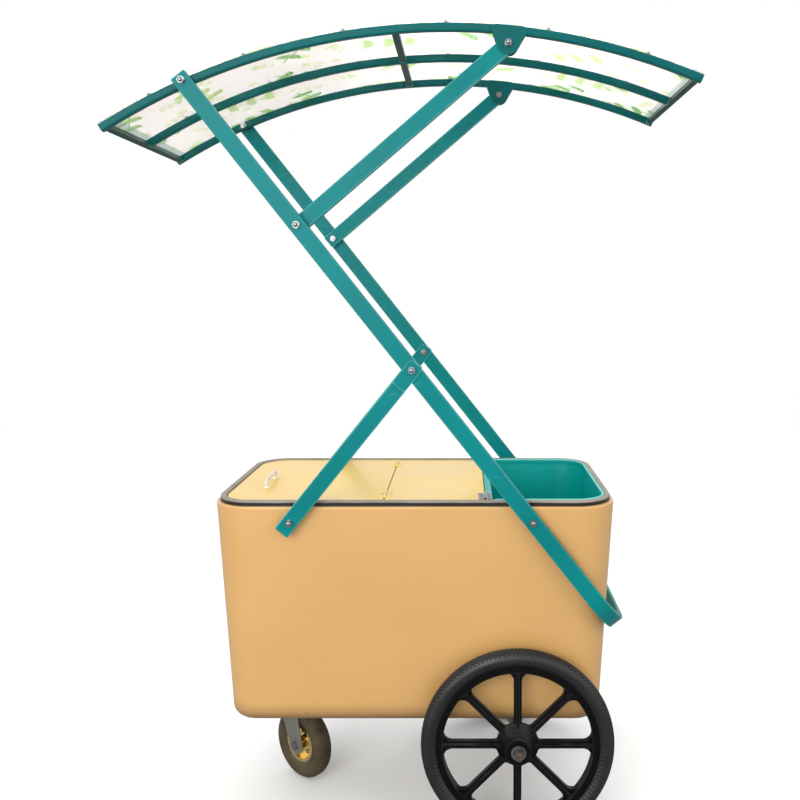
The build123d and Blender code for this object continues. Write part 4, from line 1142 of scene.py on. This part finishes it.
class CART_OT_bin_lip(CartOperator, bpy.types.Operator):
    """Run a rounded bead along the inside of the bin's edge, and a thin band under it over the trim's leg"""

    bl_idname = "cart.bin_lip"
    bl_label = "Bin lip"

    def execute(self, context):
        radius = context.scene.cart_sizes.lip_radius
        corner = np.array(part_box("rim_trim")[1])
        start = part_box("partition")[1].x + radius
        path = bin_edge(corner, start, TRIM_WIDTH + LIP_OVERLAP * radius, LIP_DROP)
        bead = bead_along(path, (0, 0, 1), radius, LIP_RIPPLE, closed=False)
        # The bead's lighter teal is a painted highlight along the bin's edge
        new_piece("bin_lip_bead", [bead], "cart_body", "liner_teal", "bin_lip", sharp=80.0)
        path = bin_edge(corner, start, TRIM_WIDTH + BAND_THICKNESS, BAND_DROP)
        tall = BAND_HEIGHT / BAND_THICKNESS / 2
        band = bead_along(path, (0, 0, 1), BAND_THICKNESS, LIP_RIPPLE, closed=False, tall=tall)
        new_piece("bin_lip_band", [band], "cart_body", "liner_teal", sharp=80.0)
        return {"FINISHED"}


class CART_OT_canopy_film(CartOperator, bpy.types.Operator):
    """Lay the printed film over the rails, sagging a little in each bay between rails and bars"""

    bl_idname = "cart.canopy_film"
    bl_label = "Canopy film"

    def execute(self, context):
        sizes = context.scene.cart_sizes
        low, high = corners_of("canopy_sheet")
        half = (high[1] - low[1]) / 2
        left = arch_angle(low[0], RAIL_OUTER + FILM_LIFT)
        right = arch_angle(high[0], RAIL_OUTER + FILM_LIFT)
        bar = arch_angle(middle_of("canopy_crossbars")[0])
        rows, columns = FILM_POINTS
        angle = np.linspace(left, right, rows)[:, None]
        offset = np.linspace(-half, half, columns)[None]
        bay = abs(RAIL_OFFSETS[0])
        across = np.where(np.abs(offset) < bay, np.sin(np.pi * offset / bay) ** 2, 0)
        start = np.where(angle < bar, left, bar)
        span = np.where(angle < bar, bar - left, right - bar)
        along = np.sin(np.pi * (angle - start) / span) ** 2
        ripple = 1 + FILM_RIPPLE * np.sin(FILM_WAVES[0] * angle) * np.cos(FILM_WAVES[1] * offset)
        radius = RAIL_OUTER + FILM_LIFT - sizes.film_sag * across * along * ripple
        mesh = bpy.data.meshes.new("canopy_film_sheet")
        points = on_arch(radius, angle, offset).reshape(-1, 3)
        mesh.from_pydata(points, [], grid_quads(rows, columns))
        corner = np.zeros(len(mesh.loops), np.int32)
        mesh.loops.foreach_get("vertex_index", corner)
        flat = np.stack(np.broadcast_arrays(angle * RAIL_OUTER, offset), axis=-1).reshape(-1, 2)
        layer = mesh.uv_layers.new(name="Print")
        layer.data.foreach_set("uv", flat[corner].astype(np.float32).ravel())
        piece = place_piece(
            "canopy_film_sheet", mesh, "canopy",
            finish="canopy_film", sharp=60.0, replaced=["canopy_sheet"],
        )
        wall = piece.modifiers.new("Thickness", "SOLIDIFY")
        wall.thickness = sizes.film_thickness
        wall.offset = 0.0
        return {"FINISHED"}


class CART_OT_welds(CartOperator, bpy.types.Operator):
    """Lay weld beads round the bars' ends and the middle rail's ends, and along the stay brackets"""

    bl_idname = "cart.welds"
    bl_label = "Weld beads"

    def execute(self, context):
        radius = context.scene.cart_sizes.weld_radius
        ripple = WELD_RIPPLE * radius
        half = RAIL_SIZE / 2
        turns = even_turns(WELD_POINTS)
        square = np.maximum(np.abs(np.cos(turns)), np.abs(np.sin(turns)))
        sideways, upward = np.cos(turns) / square, np.sin(turns) / square
        out = RAIL_OUTER - BAR_DROP - BAR_HEIGHT / 2 + BAR_HEIGHT / 2 * upward
        sides = (RAIL_OFFSETS[0], RAIL_OFFSETS[2])
        beads = []
        for middle, width, meets_middle in BARS:
            angle = middle + width / 2 * sideways / RAIL_OUTER
            faces = [(sides[0], 1), (sides[1], -1)]
            if meets_middle:
                faces += [(RAIL_OFFSETS[1], -1), (RAIL_OFFSETS[1], 1)]
            for offset, way in faces:
                path = on_arch(out, angle, offset + way * (half - WELD_SINK * radius))
                beads.append(bead_along(path, (0, 1, 0), BAR_WELD * radius, ripple, closed=True))
        for angle in (CANOPY_LEFT + RAIL_STOP_ANGLE, CANOPY_RIGHT - RAIL_STOP_ANGLE):
            reach = RAIL_END_WELD * half
            path = on_arch(RAIL_MIDDLE + reach * upward, angle, RAIL_OFFSETS[1] + reach * sideways)
            ahead = (np.cos(angle), 0, -np.sin(angle))
            beads.append(bead_along(path, ahead, BAR_WELD * radius, ripple, closed=True))
        low, high = corners_of("stay_brackets")
        angle = np.linspace(
            arch_angle(low[0] + BRACKET_WELD_END), arch_angle(high[0] - BRACKET_WELD_END), BRACKET_WELD_POINTS
        )
        for offset in sides:
            for away in (-half - BRACKET_WELD_OUT, half + BRACKET_WELD_OUT):
                path = on_arch(RAIL_OUTER - BRACKET_WELD_DROP, angle, offset + away)
                beads.append(bead_along(path, (0, 1, 0), BRACKET_WELD * radius, ripple, closed=False))
        new_piece("canopy_weld_beads", beads, "canopy", "frame_teal", sharp=80.0)
        return {"FINISHED"}


class CART_OT_stage(CartOperator, bpy.types.Operator):
    """Set the floor, the light and the camera"""

    bl_idname = "cart.stage"
    bl_label = "Stage"

    def execute(self, context):
        scene = context.scene
        stage = scene.cart_stage
        lay_floor(scene, stage)
        light_studio(scene, stage)
        set_camera(scene, stage)
        return {"FINISHED"}


class CART_PT_panel(bpy.types.Panel):
    """Sidebar list of the cart's pieces"""

    bl_idname = "CART_PT_panel"
    bl_label = "Insulated cart"
    bl_space_type = "VIEW_3D"
    bl_region_type = "UI"
    bl_category = "Cart"

    def draw(self, context):
        for operator in OPERATORS:
            self.layout.operator(operator.bl_idname)


GROUPS = {"cart_colours": CartColours, "cart_sizes": CartSizes, "cart_stage": CartStage}
OPERATORS = (
    CART_OT_finishes,
    CART_OT_road_tyres,
    CART_OT_caster_tyre,
    CART_OT_bolt_caps,
    CART_OT_hinge_screws,
    CART_OT_axle_studs,
    CART_OT_bin_lip,
    CART_OT_canopy_film,
    CART_OT_welds,
    CART_OT_stage,
)
CLASSES = (*GROUPS.values(), *OPERATORS, CART_PT_panel)


def register():
    """Register the classes and hang the values on the scene."""
    for made in CLASSES:
        bpy.utils.register_class(made)
    for name, group in GROUPS.items():
        setattr(bpy.types.Scene, name, PointerProperty(type=group))


def unregister():
    """Take the values off the scene and unregister the classes."""
    for name in GROUPS:
        delattr(bpy.types.Scene, name)
    for made in reversed(CLASSES):
        bpy.utils.unregister_class(made)


def main():
    register()
    bpy.ops.cart.finishes()
    bpy.ops.cart.road_tyres()
    bpy.ops.cart.caster_tyre()
    bpy.ops.cart.bolt_caps()
    bpy.ops.cart.hinge_screws()
    bpy.ops.cart.axle_studs()
    bpy.ops.cart.bin_lip()
    bpy.ops.cart.canopy_film()
    bpy.ops.cart.welds()
    bpy.ops.cart.stage()


if __name__ == "__main__":
    main()
